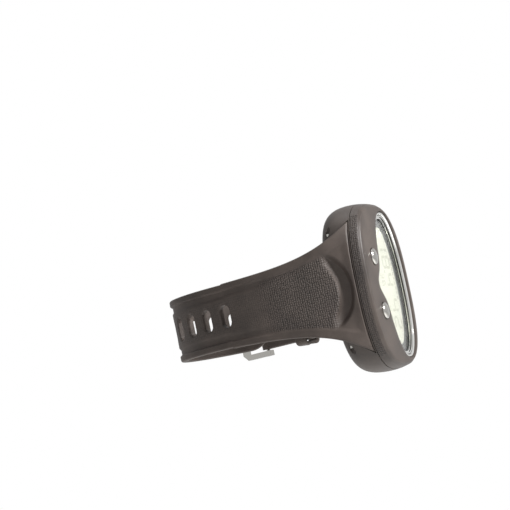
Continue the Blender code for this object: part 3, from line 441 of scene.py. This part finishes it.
def capped_solid(name, rings, mat):
    """Outlines joined in turn, each end closed by a fan to its middle."""
    rows, columns = len(rings), len(rings[0])
    points = np.vstack(rings + [rings[0].mean(0)[None], rings[-1].mean(0)[None]])
    faces = grid_faces(rows, columns, False, True).tolist()
    i = np.arange(columns)
    j = (i + 1) % columns
    last = (rows - 1) * columns
    faces += np.column_stack([np.full(columns, rows * columns), i, j]).tolist()
    faces += np.column_stack([np.full(columns, rows * columns + 1), last + j, last + i]).tolist()
    return make(name, points, faces, mat)


def smooth_step(low, high, x):
    """0 below low, 1 above high, with an even ease between."""
    t = np.clip((x - low) / (high - low), 0.0, 1.0)
    return t * t * (3 - 2 * t)


def triangulate(mesh):
    """Split every face into triangles, because a twisted quad has no plane to cut along."""
    work = bmesh.new()
    work.from_mesh(mesh)
    bmesh.ops.triangulate(work, faces=work.faces)
    work.to_mesh(mesh)
    work.free()


def carve(target, cutters):
    """Cut tools out of a piece, then keep only the result."""
    triangulate(target.data)
    for tool in cutters:
        triangulate(tool.data)
        step = target.modifiers.new("cut", "BOOLEAN")
        step.operation = "DIFFERENCE"
        step.solver = "EXACT"
        step.object = tool
    bpy.context.view_layer.update()
    graph = bpy.context.evaluated_depsgraph_get()
    result = bpy.data.meshes.new_from_object(target.evaluated_get(graph))
    target.modifiers.clear()
    target.data = result
    for tool in cutters:
        bpy.data.objects.remove(tool, do_unlink=True)
    result.shade_smooth()
    result.set_sharp_from_angle(angle=SHARP_ANGLE)
    return target


def paint(obj, name, values):
    """Write one number per vertex for a material to read."""
    layer = obj.data.attributes.new(name, "FLOAT", "POINT")
    layer.data.foreach_set("value", np.asarray(values, dtype=np.float32))


def vertex_places(obj):
    """The vertices of a mesh in millimetres."""
    flat = np.empty(len(obj.data.vertices) * 3)
    obj.data.vertices.foreach_get("co", flat)
    return flat.reshape(-1, 3) / MM


print("a closed ring of 4 by 5 points has", len(grid_faces(4, 5, True, True)), "faces")

# %% [markdown]
# ## Strap shape
# Both straps share one rule. Beside the case the rubber flares out and wraps the case's side; then
# it runs into a plain band. The outer skin has relief: two raised borders with a channel inside
# each, and near the case a smooth crescent for the thumb that pushes the strap home.

# %% Strap rules
LOOP_SAG = WRIST_HALF - (HALF_X - STRAP_HALF)
FLARE_SWELL, FLARE_FADE = 15.0, 16.0    # extra half-width at the case, and the length it fades over
WRAP_END = 8.0              # where the flare stops following the case's side
GROOVE_OUT = (2.0, 14.3, 17.5)      # outer oval of the thumb groove: middle, half depth, half width
GROOVE_IN = (4.5, 9.6, 12.5)        # its inner oval
PEBBLE_OVAL = (4.5, 9.6, 14.5)      # the pebbles' edge beside the groove
BAND_START, BAND_EASE = 34.0, 16.0      # where the band's relief begins, and how long it takes
BEYOND_FLARE = 60.0         # stands for any depth past the flare's rules
ACROSS = 61                 # points across one skin


def loop_x(y):
    """Centre line in front of the widest point: a parabola that leans in towards the case."""
    return WRIST_HALF - LOOP_SAG * ((WRIST_CENTRE - y) / (WRIST_CENTRE + HOOD)) ** 2


def flare_half(y):
    """Half-width: half the band plus an exponential swell at the case."""
    return STRAP_WIDTH / 2 + FLARE_SWELL * np.exp(-(y + HOOD) / FLARE_FADE)


def wrap_shift(y, z):
    """How far the flare leans in at its edges to follow the case's oval side."""
    case = HALF_X * (1 - (np.abs(z) / HALF_Z) ** CASE_POWER) ** (1 / CASE_POWER)
    return (HALF_X - case) * np.clip((WRAP_END - y) / (WRAP_END + HOOD), 0.0, 1.0) ** 1.5


def rounding(distance, radius):
    """Drop of a rounded edge at a distance from the edge."""
    inside = np.clip(radius - distance, 0.0, radius)
    return radius - np.sqrt(radius ** 2 - inside ** 2)


def oval(y, z, shape):
    """Distance from an oval's middle, measured so that its edge is at 1."""
    middle, deep, wide = shape
    return np.hypot((y - middle) / deep, z / wide)


def crescent(y, z):
    """1 in the thumb groove: between two ovals, fading towards its horns."""
    reach = oval(y, z, GROOVE_OUT)
    hole = oval(y, z, GROOVE_IN)
    band = (1 - smooth_step(0.84, 1.0, reach)) * smooth_step(0.97, 1.16, hole)
    return band * (1 - smooth_step(-5.0, 0.0, y))


def border(y):
    """Width of the smooth edge beside the pebbled field; it grows towards the case."""
    return 3.0 + 5.5 * np.exp(-(y + HOOD) / 9.0)


def relief(y, z, half, into_band, slots, along):
    """Depth of the outer skin below the strap's full thickness."""
    edge = half - np.abs(z)
    channel = smooth_step(2.5, 3.3, edge) * (1 - smooth_step(5.4, 6.3, edge))
    plateau = smooth_step(5.4, 6.3, edge)
    band = 1.0 * channel + 0.35 * plateau
    flare = 0.55 * smooth_step(border(y), border(y) + 0.9, edge) * smooth_step(-HOOD, -9.0, y)
    depth = flare * (1 - into_band) + band * into_band
    depth = depth + 2.3 * crescent(y, z)
    depth = depth + rounding(edge, 0.8)
    for place in slots:
        qs = np.abs(along - place) - 0.1
        qz = np.abs(z) - (SLOT_LENGTH / 2 - SLOT_WIDTH / 2 + 0.1)
        away = np.hypot(np.maximum(qs, 0), np.maximum(qz, 0)) - (SLOT_WIDTH / 2 - 0.1)
        depth = depth + np.where(away > 0, rounding(np.maximum(away, 0), 0.6), 0.6)
    return depth


def strap_mesh(name, side, centres, normals, y_rule, along, half, slots):
    """Sweep the strap's section along its centre line, outer skin and inner skin joined round.

    The points across crowd towards both edges, where the section is round."""
    q = np.sin(np.linspace(-math.pi / 2, math.pi / 2, ACROSS) * 0.92) / math.sin(math.pi / 2 * 0.92)
    z = half[:, None] * q[None, :]
    y = y_rule[:, None] + 0 * z
    s = along[:, None] + 0 * z
    into_band = smooth_step(BAND_START, BAND_START + BAND_EASE, s)
    outer = STRAP_HALF - relief(y, z, half[:, None], into_band, slots, s) - rounding(s, 0.5)
    inner = -STRAP_HALF + rounding(half[:, None] - np.abs(z), 0.7)
    shift = wrap_shift(np.minimum(y, WRAP_END), np.clip(z, -HALF_Z + 1, HALF_Z - 1))
    sheets = []
    for offset in (outer, inner):
        x = centres[:, 0, None] + normals[:, 0, None] * offset - side * shift
        yy = centres[:, 1, None] + normals[:, 1, None] * offset
        sheets.append(np.stack([x, yy, z], -1))
    loop = np.concatenate([sheets[0], sheets[1][:, ::-1]], axis=1)
    rows, columns = loop.shape[:2]
    faces = grid_faces(rows, columns, False, True).tolist()
    i = np.arange(ACROSS - 1)
    last = (rows - 1) * columns
    cap = np.column_stack([i, i + 1, columns - 2 - i, columns - 1 - i])
    faces += cap.tolist() + (last + cap[:, ::-1]).tolist()
    obj = make(name, loop, faces, rubber)
    field = (1 - into_band) * smooth_step(border(y) + 0.3, border(y) + 1.3, half[:, None] - np.abs(z))
    inside = 1 - smooth_step(0.98, 1.06, oval(y, z, PEBBLE_OVAL))
    field = field * np.where(y > PEBBLE_OVAL[0], 1.0, np.maximum(inside, smooth_step(-4.0, 2.0, y)))
    field = np.maximum(field, 0.45 * into_band * smooth_step(6.6, 7.6, half[:, None] - np.abs(z)))
    paint(obj, "pebble", np.concatenate([field, 0 * field], axis=1).ravel())
    return obj


print("flare", round(2 * flare_half(-HOOD), 1), "mm wide at the case, band", STRAP_WIDTH, "mm")

# %% [markdown]
# ## Long strap
# On the real object this is one rubber moulding. The centre line is sampled evenly by length.
# Round-cornered slots for the buckle's tongue are cut through at an even pitch, and the last steps
# narrow to a round tail.

# %% Long strap
FRONT_POINTS, ROUND_POINTS = 400, 1600      # samples of the parabola and of the ellipse
TAIL_LENGTH = 10.0          # the round end of the tail
FIRST_SLOT_ANGLE = 16.7     # of the ellipse, at the first slot
FLARE_LENGTH = 60.0         # the flare's width rule holds this far along


def long_path():
    """Centre line points, outward normals and distances, from the case to the tail."""
    y = np.linspace(-HOOD, WRIST_CENTRE, FRONT_POINTS)[:-1]
    a = np.radians(np.linspace(0, TAIL_ANGLE, ROUND_POINTS))
    dense = np.vstack([np.column_stack([-loop_x(y), y]),
                       np.column_stack([-WRIST_HALF * np.cos(a), WRIST_CENTRE + WRIST_REACH * np.sin(a)])])
    length = np.concatenate([[0], np.cumsum(np.linalg.norm(np.diff(dense, axis=0), axis=1))])
    first_slot = np.interp(FIRST_SLOT_ANGLE, np.linspace(0, TAIL_ANGLE, ROUND_POINTS),
                           length[FRONT_POINTS - 1:])
    total = length[-1]
    steps = np.concatenate([np.linspace(0, total - TAIL_LENGTH, 330),
                            total - TAIL_LENGTH * (1 - np.sin(np.linspace(0.12, math.pi / 2, 14)))])
    centres = np.column_stack([np.interp(steps, length, dense[:, k]) for k in (0, 1)])
    ahead = np.column_stack([np.interp(steps + 0.2, length, dense[:, k]) for k in (0, 1)])
    behind = np.column_stack([np.interp(steps - 0.2, length, dense[:, k]) for k in (0, 1)])
    way = ahead - behind
    way /= np.linalg.norm(way, axis=1)[:, None]
    normals = np.column_stack([-way[:, 1], way[:, 0]])
    return steps, centres, normals, way, first_slot, total


steps, centres, normals, way, first_slot, total = long_path()
# Beside the case the skin faces straight sideways; further on it faces as the path does.
square = smooth_step(2.0, 14.0, centres[:, 1]) + (np.arange(len(steps)) > 150)
square = np.clip(square, 0, 1)[:, None]
normals = normals * square + np.array([-1.0, 0.0]) * (1 - square)
normals /= np.linalg.norm(normals, axis=1)[:, None]
on_front = steps < FLARE_LENGTH
y_rule = np.where(on_front, centres[:, 1], BEYOND_FLARE)
half = np.where(on_front, flare_half(centres[:, 1]), STRAP_WIDTH / 2 + 0.02)
into_tail = np.clip((steps - (total - TAIL_LENGTH)) / TAIL_LENGTH, 0, 1)
half = half - TAIL_LENGTH * (1 - np.sqrt(1 - into_tail ** 2)) * (into_tail > 0)
slot_places = [first_slot + k * SLOT_PITCH for k in range(SLOT_COUNT)]
long_strap = strap_mesh("long_strap_moulding", -1, centres, normals, y_rule, steps, half, slot_places)


def slot_tool(number, place):
    """A round-cornered prism standing through the strap at one distance."""
    k = int(np.argmin(np.abs(steps - place)))
    offset = place - steps[k]
    centre = centres[k] + way[k] * offset
    t = np.linspace(0, 2 * math.pi, 40, endpoint=False)
    r = SLOT_WIDTH / 2 - 0.1
    u = np.sign(np.cos(t)) * 0.1 + r * np.cos(t)
    v = np.sign(np.sin(t)) * (SLOT_LENGTH / 2 - r) + r * np.sin(t)
    rings = []
    for out in (-4.0, 4.0):
        base = centre + normals[k] * out
        rings.append(np.column_stack([base[0] + way[k, 0] * u, base[1] + way[k, 1] * u, v]))
    return capped_solid(f"slot_tool_{number}", rings, None)


carve(long_strap, [slot_tool(k, place) for k, place in enumerate(slot_places)])
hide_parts("long_strap_root", "long_strap_band")
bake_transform(long_strap)
print("long strap", round(total, 1), "mm,", len(long_strap.data.polygons), "faces")

# %% [markdown]
# ## Short strap
# The 12 o'clock strap is a second rubber moulding with the same flare. Its band runs straight to a
# barrel round the buckle's pin, with a notch in the middle where the tongue swings. The barrel is a
# mesh of its own that lies in the band's end, which keeps both shapes simple.

# %% Short strap
lean = math.radians(SHORT_LEAN)
heading = np.array([math.sin(lean), math.cos(lean)])
outward = np.array([heading[1], -heading[0]])
short_root = np.array([loop_x(SHORT_HINGE), SHORT_HINGE])
pin = short_root + heading * SHORT_LENGTH
BARREL_RADIUS, BARREL_HALF, PIN_BORE = 2.55, 13.9, 1.2


def short_path():
    """Middles, facings, depths, distances and half-widths: the flare, then a straight leaning band."""
    y = np.linspace(-HOOD, SHORT_HINGE - 3.0, 110)
    front = np.column_stack([loop_x(y), y])
    run = np.linspace(3.0, SHORT_LENGTH, 130)
    back = short_root + heading * run[:, None]
    mids = np.vstack([front, back])
    gone = np.concatenate([[0], np.cumsum(np.linalg.norm(np.diff(mids, axis=0), axis=1))])
    turn = smooth_step(-4.0, 5.0, np.concatenate([y - SHORT_HINGE, run]))[:, None]
    face = np.array([1.0, 0.0]) * (1 - turn) + outward * turn
    face /= np.linalg.norm(face, axis=1)[:, None]
    widths = np.concatenate([flare_half(y), np.full(len(run), STRAP_WIDTH / 2)])
    ease = smooth_step(-4.0, 8.0, np.concatenate([y - SHORT_HINGE, run]))
    widths = widths * (1 - ease) + STRAP_WIDTH / 2 * ease
    rule = np.concatenate([y, np.full(len(run), BEYOND_FLARE)])
    return mids, face, rule, gone, widths


mids, face, rule, gone, widths = short_path()
short_strap = strap_mesh("short_strap_moulding", 1, mids, face, rule, gone, widths, [])


def bar_along_z(name, centre, radius, low, high, mat=None, count=40):
    """A round bar along the forearm."""
    t = np.arange(count) * 2 * math.pi / count
    rings = [np.column_stack([centre[0] + radius * np.cos(t), centre[1] + radius * np.sin(t),
                              np.full(count, z)]) for z in (low, high)]
    return capped_solid(name, rings, mat)


def tongue_notch():
    """The room cut in the barrel and the band for the tongue."""
    corners = np.array([(-4.5, -9.0), (9.0, -9.0), (9.0, 9.0), (-4.5, 9.0)])
    flat = pin + heading * corners[:, :1] + outward * corners[:, 1:]
    return capped_solid("notch_tool", [np.column_stack([flat, np.full(4, z)]) for z in (-2.1, 2.1)], None)


barrel_near = bar_along_z("short_strap_barrel", pin, BARREL_RADIUS, -BARREL_HALF, BARREL_HALF, rubber, 64)
carve(barrel_near, [tongue_notch(), bar_along_z("bore_tool", pin, PIN_BORE, -30, 30)])
carve(short_strap, [tongue_notch(), bar_along_z("bore_tool", pin, PIN_BORE, -30, 30)])
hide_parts("short_strap_root", "short_strap_band")
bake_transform(short_strap)
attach(barrel_near, "short_strap")
print("short strap to pin", np.round(pin, 1))

# %% [markdown]
# ## Outlines of the case
# Case and rim are two mouldings that meet at a seam, so both take their outside from one rule: an
# oval that is full at the waist and drawn in towards the back and, a little, towards the front. The
# display opening is an off-centre oval with a bulge between the buttons. The cutting shapes used
# below are here too.

# %% Case outlines
ROUND = 224                 # points round an outline
SIDE_DRAW, END_DRAW = 0.8, 1.6      # at the back the sides draw in less; at the front the ends more


def case_outline(y, extra=0.0):
    """The case's outside at a depth."""
    back = max(0.0, (y + WAIST) / WAIST)
    front = max(0.0, -(y + WAIST) / (FACE - WAIST))
    draw = BACK_DRAW * (1 - math.sqrt(1 - min(back, 1.0) ** 2.5))
    return superellipse(HALF_X - SIDE_DRAW * draw - front ** 2 + extra,
                        HALF_Z - draw - END_DRAW * front ** 2 + extra, CASE_POWER, ROUND)


def opening(distance, count=ROUND):
    """The display opening, moved inwards by a distance."""
    outline = superellipse(OPEN_HALF_X, OPEN_HALF_Z, OPEN_POWER, count, OPEN_X)
    near = outline[:, 0] < OPEN_X
    outline[near, 0] -= TONGUE * np.exp(-(outline[near, 1] / TONGUE_SPREAD) ** 2)
    return inset(outline, distance)


def rounded_rectangle(half_x, half_z, radius, per_corner=12):
    """A rectangle with round corners, counter-clockwise."""
    a = np.radians(np.concatenate([np.linspace(k * 90, k * 90 + 90, per_corner) for k in range(4)]))
    sx = np.repeat([1, -1, -1, 1], per_corner)
    sz = np.repeat([1, 1, -1, -1], per_corner)
    return np.column_stack([sx * (half_x - radius) + radius * np.cos(a),
                            sz * (half_z - radius) + radius * np.sin(a)])


def prism(name, outline, front, back):
    """A plain tool with an x, z outline between two depths."""
    return capped_solid(name, [at_depth(outline, front), at_depth(outline, back)], None)


def disc(radius, cx, cz, count=40):
    """A circle in the x, z plane."""
    t = np.arange(count) * 2 * math.pi / count
    return np.column_stack([cx + radius * np.cos(t), cz + radius * np.sin(t)])


def strap_room(side):
    """Room for a strap end: its wrapped flare with a clearance all round, far past the outside."""
    rings = []
    for y in np.linspace(-HOOD - GAP, 12.0, 40):
        reach = flare_half(y) + GAP
        z = np.linspace(-reach, reach, 41)
        base = loop_x(y) - wrap_shift(y, z)
        low = np.column_stack([side * (base - STRAP_HALF - GAP), np.full(41, y), z])
        top = np.column_stack([side * (base + 30), np.full(41, y), z])
        rings.append(np.vstack([top, low[::-1]]))
    rows, columns = len(rings), 82
    faces = grid_faces(rows, columns, False, True).tolist()
    i = np.arange(40)
    cap = np.column_stack([i, i + 1, columns - 2 - i, columns - 1 - i])
    faces += cap.tolist() + ((rows - 1) * columns + cap[:, ::-1]).tolist()
    return make("strap_room", np.vstack(rings), faces)


print("opening", np.ptp(opening(0.0), axis=0).round(1), "mm across and along")

# %% [markdown]
# ## Case body
# The lower shell would be moulded with its rooms already open. Here a stack of outlines makes the
# full block, and the rooms are cut out of it: under the glass, behind it, for the two strap ends
# and their pins, and for the buttons and screws.

# %% Case body
depths = np.concatenate([-WAIST + WAIST * np.sin(np.linspace(math.pi / 2, 0, 22)), [-12.0, -14.0]])
shell = capped_solid("case_moulding", [at_depth(case_outline(y), y) for y in depths], nylon)
tools = [prism("tool", opening(4.2, 56), -16.0, -8.6),      # front room, under the glass
         prism("tool", rounded_rectangle(14.8, 25.8, 9.0), -9.6, -2.5),        # middle room
         prism("tool", rounded_rectangle(18.7, 28.2, 11.0), -3.5, 2.0),        # ledge round the back opening
         prism("tool", rounded_rectangle(21.3, 30.8, 9.3), -2.3, 3.0)]         # seat of the back cover
for side in (-1, 1):
    tools.append(strap_room(side))
    heel = np.array([(22.7, -17.3), (60.0, -17.3), (60.0, 17.3), (22.7, 17.3)]) * (side, 1)
    tools.append(prism("tool", heel[::side], -7.7, 9.0))
    tools.append(bar_along_z("tool", (side * 25.8, -4.0), 1.2, -45, 45))
tools += [prism("tool", disc(3.2, BUTTON[0], z), -16.0, -8.3) for z in (BUTTON[1], -BUTTON[1])]
tools += [prism("tool", disc(1.1, x, z, 16), -6.3, 1.0) for x in (-17.1, 17.1) for z in (-26.6, 26.6)]
carve(shell, tools)
paint(shell, "pebble", np.zeros(len(shell.data.vertices)))
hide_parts("case_body")
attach(shell, "case")
print("case", len(shell.data.polygons), "faces")

# %% [markdown]
# ## Rim moulding
# The rim is the second nylon moulding. It is a closed band of outlines: up the outside, over a
# rounded edge, across the flat face and down into the display opening. Pockets for the button heads
# and their springs are cut into its face. Its long sides keep the strap's pebbles behind the front
# edge.

# %% Rim moulding
LIP_ROUND, LIP_MIDDLE = 0.45, 0.13      # rounding of the opening's edge, whole and halfway round
angles = np.linspace(0, math.pi / 2, 7)
outer = [at_depth(case_outline(y), y) for y in np.linspace(SEAM, -(FACE - RIM_ROUND), 12)]
outer += [at_depth(case_outline(-FACE, -RIM_ROUND * (1 - math.cos(a))),
                   -(FACE - RIM_ROUND) - RIM_ROUND * math.sin(a)) for a in angles[1:]]
edge = outer[-1]
lip = at_depth(opening(-LIP_ROUND), -FACE)
flat = [edge * (1 - f) + lip * f for f in (0.15, 0.5, 0.85, 1.0)]
inner = [at_depth(opening(-LIP_MIDDLE), -FACE + LIP_MIDDLE), at_depth(opening(0.0), -FACE + LIP_ROUND),
         at_depth(opening(0.0), SEAM)]
rim = ring_solid("rim_moulding", outer + flat + inner, nylon)
tools = []
for z in (BUTTON[1], -BUTTON[1]):
    tools += [prism("tool", disc(3.95, BUTTON[0], z, 56), -FACE - 2, -16.2),
              prism("tool", disc(1.5, BUTTON[0], z, 24), -17.2, SEAM + 1),
              prism("tool", disc(2.6, BUTTON[0], z, 32), SEAM - 1.0, SEAM + 1)]
carve(rim, tools)
spots = vertex_places(rim)
side_wall = smooth_step(-17.9, -17.2, spots[:, 1]) * (np.abs(spots[:, 0]) > 18) * (np.abs(spots[:, 2]) < 31)
paint(rim, "pebble", side_wall)
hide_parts("front_bezel")
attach(rim, "case")
print("rim", len(rim.data.polygons), "faces")

# %% [markdown]
# ## Trim ring and glass
# A trim ring like this could be pressed or machined from stainless steel and polished. It steps down
# to the glass in bright bands. The steps are in its section, carried round the opening, and three
# narrow rows of that section keep a blasted finish with painted shade in its colour, so that they
# read as thin dark lines. The glass is a flat pane with a small bevel.

# %% Trim ring and glass
LIP = -16.9
section = [(0.30, -18.2), (0.30, -14.5), (1.10, -14.5), (1.10, LIP), (3.40, LIP), (3.40, LIP - 0.25),
           (3.1, LIP - 0.3), (2.6, LIP - 0.36), (2.35, LIP - 0.42), (2.3, -17.7), (2.1, -17.8),
           (1.8, -17.85), (1.5, -17.9), (1.2, -18.35), (1.0, -18.4), (0.5, -18.4)]
ring = ring_solid("trim_ring_polished", [at_depth(opening(d), y) for d, y in section], mirror_steel)
ring.data.materials.append(groove_shade_steel)
# Painted shade: these rows take the dark groove steel, which stands in for the shade in the grooves.
BLASTED_SHADED_ROWS = (5, 8, 11)
blasted_shaded_faces = np.repeat(np.isin(np.arange(len(section)), BLASTED_SHADED_ROWS), ROUND).astype(np.int32)
ring.data.polygons.foreach_set("material_index", blasted_shaded_faces)
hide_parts("trim_ring")
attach(ring, "case")
pane = capped_solid("display_pane", [at_depth(opening(d), y) for d, y in
                                     ((1.6, -16.6), (1.4, -16.4), (1.4, -15.3), (1.6, -15.1))], glass)
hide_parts("display_glass")
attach(pane, "case")
print("trim ring", len(ring.data.polygons), "faces,", int(blasted_shaded_faces.sum()), "of them blasted")

# %% [markdown]
# ## Buttons
# A button like this is turned from stainless bar and tumbled: a domed head, a short skirt and a stem
# with a groove for its clip, which reaches in to the switch. So the mesh is turned as well, from one
# profile.

# %% Turned pieces
def turned(name, profile, x, z, mat, count=64):
    """A profile of (radius, depth) carried round an axis through the case, its poles closed."""
    t = np.arange(count) * 2 * math.pi / count
    rings = [np.column_stack([x + r * np.cos(t), np.full(count, y), z + r * np.sin(t)]) for r, y in profile]
    return capped_solid(name, rings, mat)


HEAD_RADIUS, DOME_FOOT, DOME_RISE = 3.65, -19.3, 1.3
dome = [(HEAD_RADIUS * math.cos(a), DOME_FOOT - DOME_RISE * math.sin(a))
        for a in np.radians([88, 78, 66, 54, 42, 30, 18, 8, 0])]
stem = [(HEAD_RADIUS, -18.3), (3.45, -18.1), (1.2, -18.1), (1.2, -13.7), (0.8, -13.7), (0.8, -12.7),
        (1.2, -12.7), (1.2, -12.1), (1.1, -12.0)]
for number, z in ((1, BUTTON[1]), (2, -BUTTON[1])):
    cap = turned(f"button_{number}_turned", dome + stem, BUTTON[0], z, tumbled_steel)
    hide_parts(f"button_cap_{number}")
    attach(cap, f"button_{number}")
print("buttons at", BUTTON)

# %% [markdown]
# ## Button springs
# A coil of stainless wire under each head pushes the button back out. Its centre line is a helix;
# a small circle of wire is carried along it. On the real computer the coil flattens towards the
# floor of its pocket when the button goes in; here it keeps one shape.

# %% Springs
SPRING_FLOOR = -16.2
COIL_RADIUS, WIRE = 2.42, 0.19


def coil(name, x, z):
    """A round wire carried along a helix of two and a half turns."""
    turn = np.linspace(0, 5 * math.pi, 121)
    depth = np.linspace(-17.8, SPRING_FLOOR - 0.3, 121)
    t = np.arange(12) * 2 * math.pi / 12
    rings = []
    for a, y in zip(turn, depth):
        out = COIL_RADIUS + WIRE * np.cos(t)
        rings.append(np.column_stack([x + out * math.cos(a), y + WIRE * np.sin(t), z + out * math.sin(a)]))
    return capped_solid(name, rings, brushed_steel)


for number, z in ((1, BUTTON[1]), (2, -BUTTON[1])):
    spring = coil(f"button_{number}_coil", BUTTON[0], z)
    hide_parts(f"button_spring_{number}")
    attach(spring, "case")
    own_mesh(spring)
print("springs of", 2 * WIRE, "mm wire")

# %% [markdown]
# ## Display digits
# Seven-segment numbers lie on the liquid crystal cell as thin bars, a shade darker than the cell, as
# on an idle display. They are plain numbers: a depth and a time, three small readings below them and
# a row of blocks above. The reader sees 12 o'clock as up, so a digit's up is +X and its line runs
# along -Z.

# %% Digits
SEGMENTS = {"0": "abcdef", "1": "bc", "2": "abdeg", "3": "abcdg", "4": "bcfg", "5": "acdfg", "6": "acdefg",
            "7": "abc", "8": "abcdefg", "9": "abcdfg"}
# Each bar's place in the digit, and whether it lies level.
BARS = {"a": (0, 1, True), "g": (0, 0, True), "d": (0, -1, True), "b": (0.5, 0.5, False),
        "c": (0.5, -0.5, False), "e": (-0.5, -0.5, False), "f": (-0.5, 0.5, False)}
BLOCK = np.array([(-1, -1), (-1, 0), (-1, 1), (1, 1), (1, 0), (1, -1)])     # six points, like a bar
BIG, SMALL = 9.5, 4.2       # heights of the digits
MAIN_LINE, LOW_LINE, BLOCK_LINE = 6.5, -0.2, 18.4
INK_FRONT, INK_THICK = -14.68, 0.05


def bar(cx, cy, length, thick, level):
    """One lozenge bar lying along the line if level, else standing: six points."""
    a, b = length / 2, thick / 2
    shape = np.array([(-a, 0), (-a + b, b), (a - b, b), (a, 0), (a - b, -b), (-a + b, -b)])
    return shape + (cx, cy) if level else shape[:, ::-1] + (cx, cy)


def digits(text, left, base, height):
    """The bars of a number in the reader's plane."""
    shapes, x = [], left
    width, thick = height * 0.5, height * 0.13
    for sign in text:
        if sign == ".":
            shapes.append(BLOCK * thick * 0.5 + (x - thick, base))
            continue
        for name in SEGMENTS[sign]:
            cx, cy, level = BARS[name]
            length = (width if level else height / 2) - thick * 0.35
            shapes.append(bar(x + width * (0.5 + cx), base + height * (0.5 + cy / 2), length, thick, level))
        x += width + thick * 2.6
    return shapes


shapes = digits("18.4", -21.0, MAIN_LINE, BIG) + digits("42", 6.5, MAIN_LINE, BIG)
for text, left in (("21", -19.5), ("36", -5.5), ("05", 9.5)):
    shapes += digits(text, left, LOW_LINE, SMALL)
shapes += [BLOCK * 0.8 + (-12 + 2.2 * k, BLOCK_LINE) for k in range(9)]
flatwise = np.array(shapes)
count = len(flatwise)
front = np.stack([flatwise[..., 1], np.full(flatwise.shape[:2], INK_FRONT), -flatwise[..., 0]], -1)
back = front + (0, INK_THICK, 0)
points = np.concatenate([front, back], axis=1).reshape(-1, 3)
base = np.arange(count)[:, None] * 12
i = np.arange(6)
j = (i + 1) % 6
sides = (base[:, :, None] + np.stack([i, j, j + 6, i + 6], -1)[None]).reshape(-1, 4)
faces = sides.tolist() + (base + i[None]).tolist() + (base + 11 - i[None]).tolist()
ink = make("display_digits", points, faces, segment_ink)
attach(ink, "case")
print("bars", count)

# %% [markdown]
# ## Keeper
# The loop that holds the strap's tail is a small rubber moulding: a soft rounded band with a shallow
# groove round its middle. It slides on the short strap. Its section is carried round a rounded
# rectangle, so that it has no seam.

# %% Keeper
KEEPER_AT, KEEPER_HALF, KEEPER_REACH = 24.0, 3.0, 14.5      # place on the band, half width, half length


def keeper_mesh():
    """A rounded section carried round a rounded rectangle that stands across the strap."""
    t = np.linspace(0, 2 * math.pi, 20, endpoint=False)
    low, high = -2.2, 7.0
    middle = (low + high) / 2
    rings = []
    for a in t:
        along = KEEPER_HALF * np.sign(math.cos(a)) * abs(math.cos(a)) ** 0.5
        groove = 0.35 if math.sin(a) > 0.9 else 0.0
        grow = 0.9 + 0.9 * np.sign(math.sin(a)) * abs(math.sin(a)) ** 0.5 - groove
        loop = rounded_rectangle((high - low) / 2 + grow, KEEPER_REACH + grow, 1.0 + grow, 10)
        base = short_root + heading * (KEEPER_AT + along) + outward * middle
        rings.append(np.column_stack([base[0] + outward[0] * loop[:, 0],
                                      base[1] + outward[1] * loop[:, 0], loop[:, 1]]))
    return ring_solid("keeper_moulding", rings, rubber)


keeper = keeper_mesh()
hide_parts("strap_keeper")
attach(keeper, "keeper")
print("keeper", np.ptp(vertex_places(keeper)[:, 2]).round(1), "mm along the forearm")

# %% [markdown]
# ## Finishes for the frame's own pieces
# The small metal parts, the seals and everything inside are already the shape that turning,
# stamping or moulding would give them. They keep it, and only take the finish of their material.

# %% Dress the rest
DRESS = {inner_nylon: ["lcd_frame", "tact_switch_1", "tact_switch_2"],
         silicone: ["glass_gasket", "zebra_strip_upper", "zebra_strip_lower", "back_gasket",
                    "battery_cap_o_ring", "button_o_ring_1", "button_o_ring_2"],
         film: ["lcd_panel"], milk_plastic: ["backlight_plate"], mask_green: ["main_board"],
         brass: ["buzzer", "battery_contact_negative", "battery_contact_positive"],
         tumbled_steel: ["buckle_frame", "buckle_tongue", "buckle_pin", "strap_pin_long", "strap_pin_short",
                         "button_clip_1", "button_clip_2", "pressure_sensor",
                         "back_screw_1", "back_screw_2", "back_screw_3", "back_screw_4"],
         brushed_steel: ["battery_cell", "sensor_grille"],
         nylon: ["back_cover", "battery_cap"]}
for finish, names in DRESS.items():
    for name in names:
        obj = bpy.data.objects[name]
        obj.data.materials.clear()
        obj.data.materials.append(finish)
print("dressed", sum(len(names) for names in DRESS.values()))
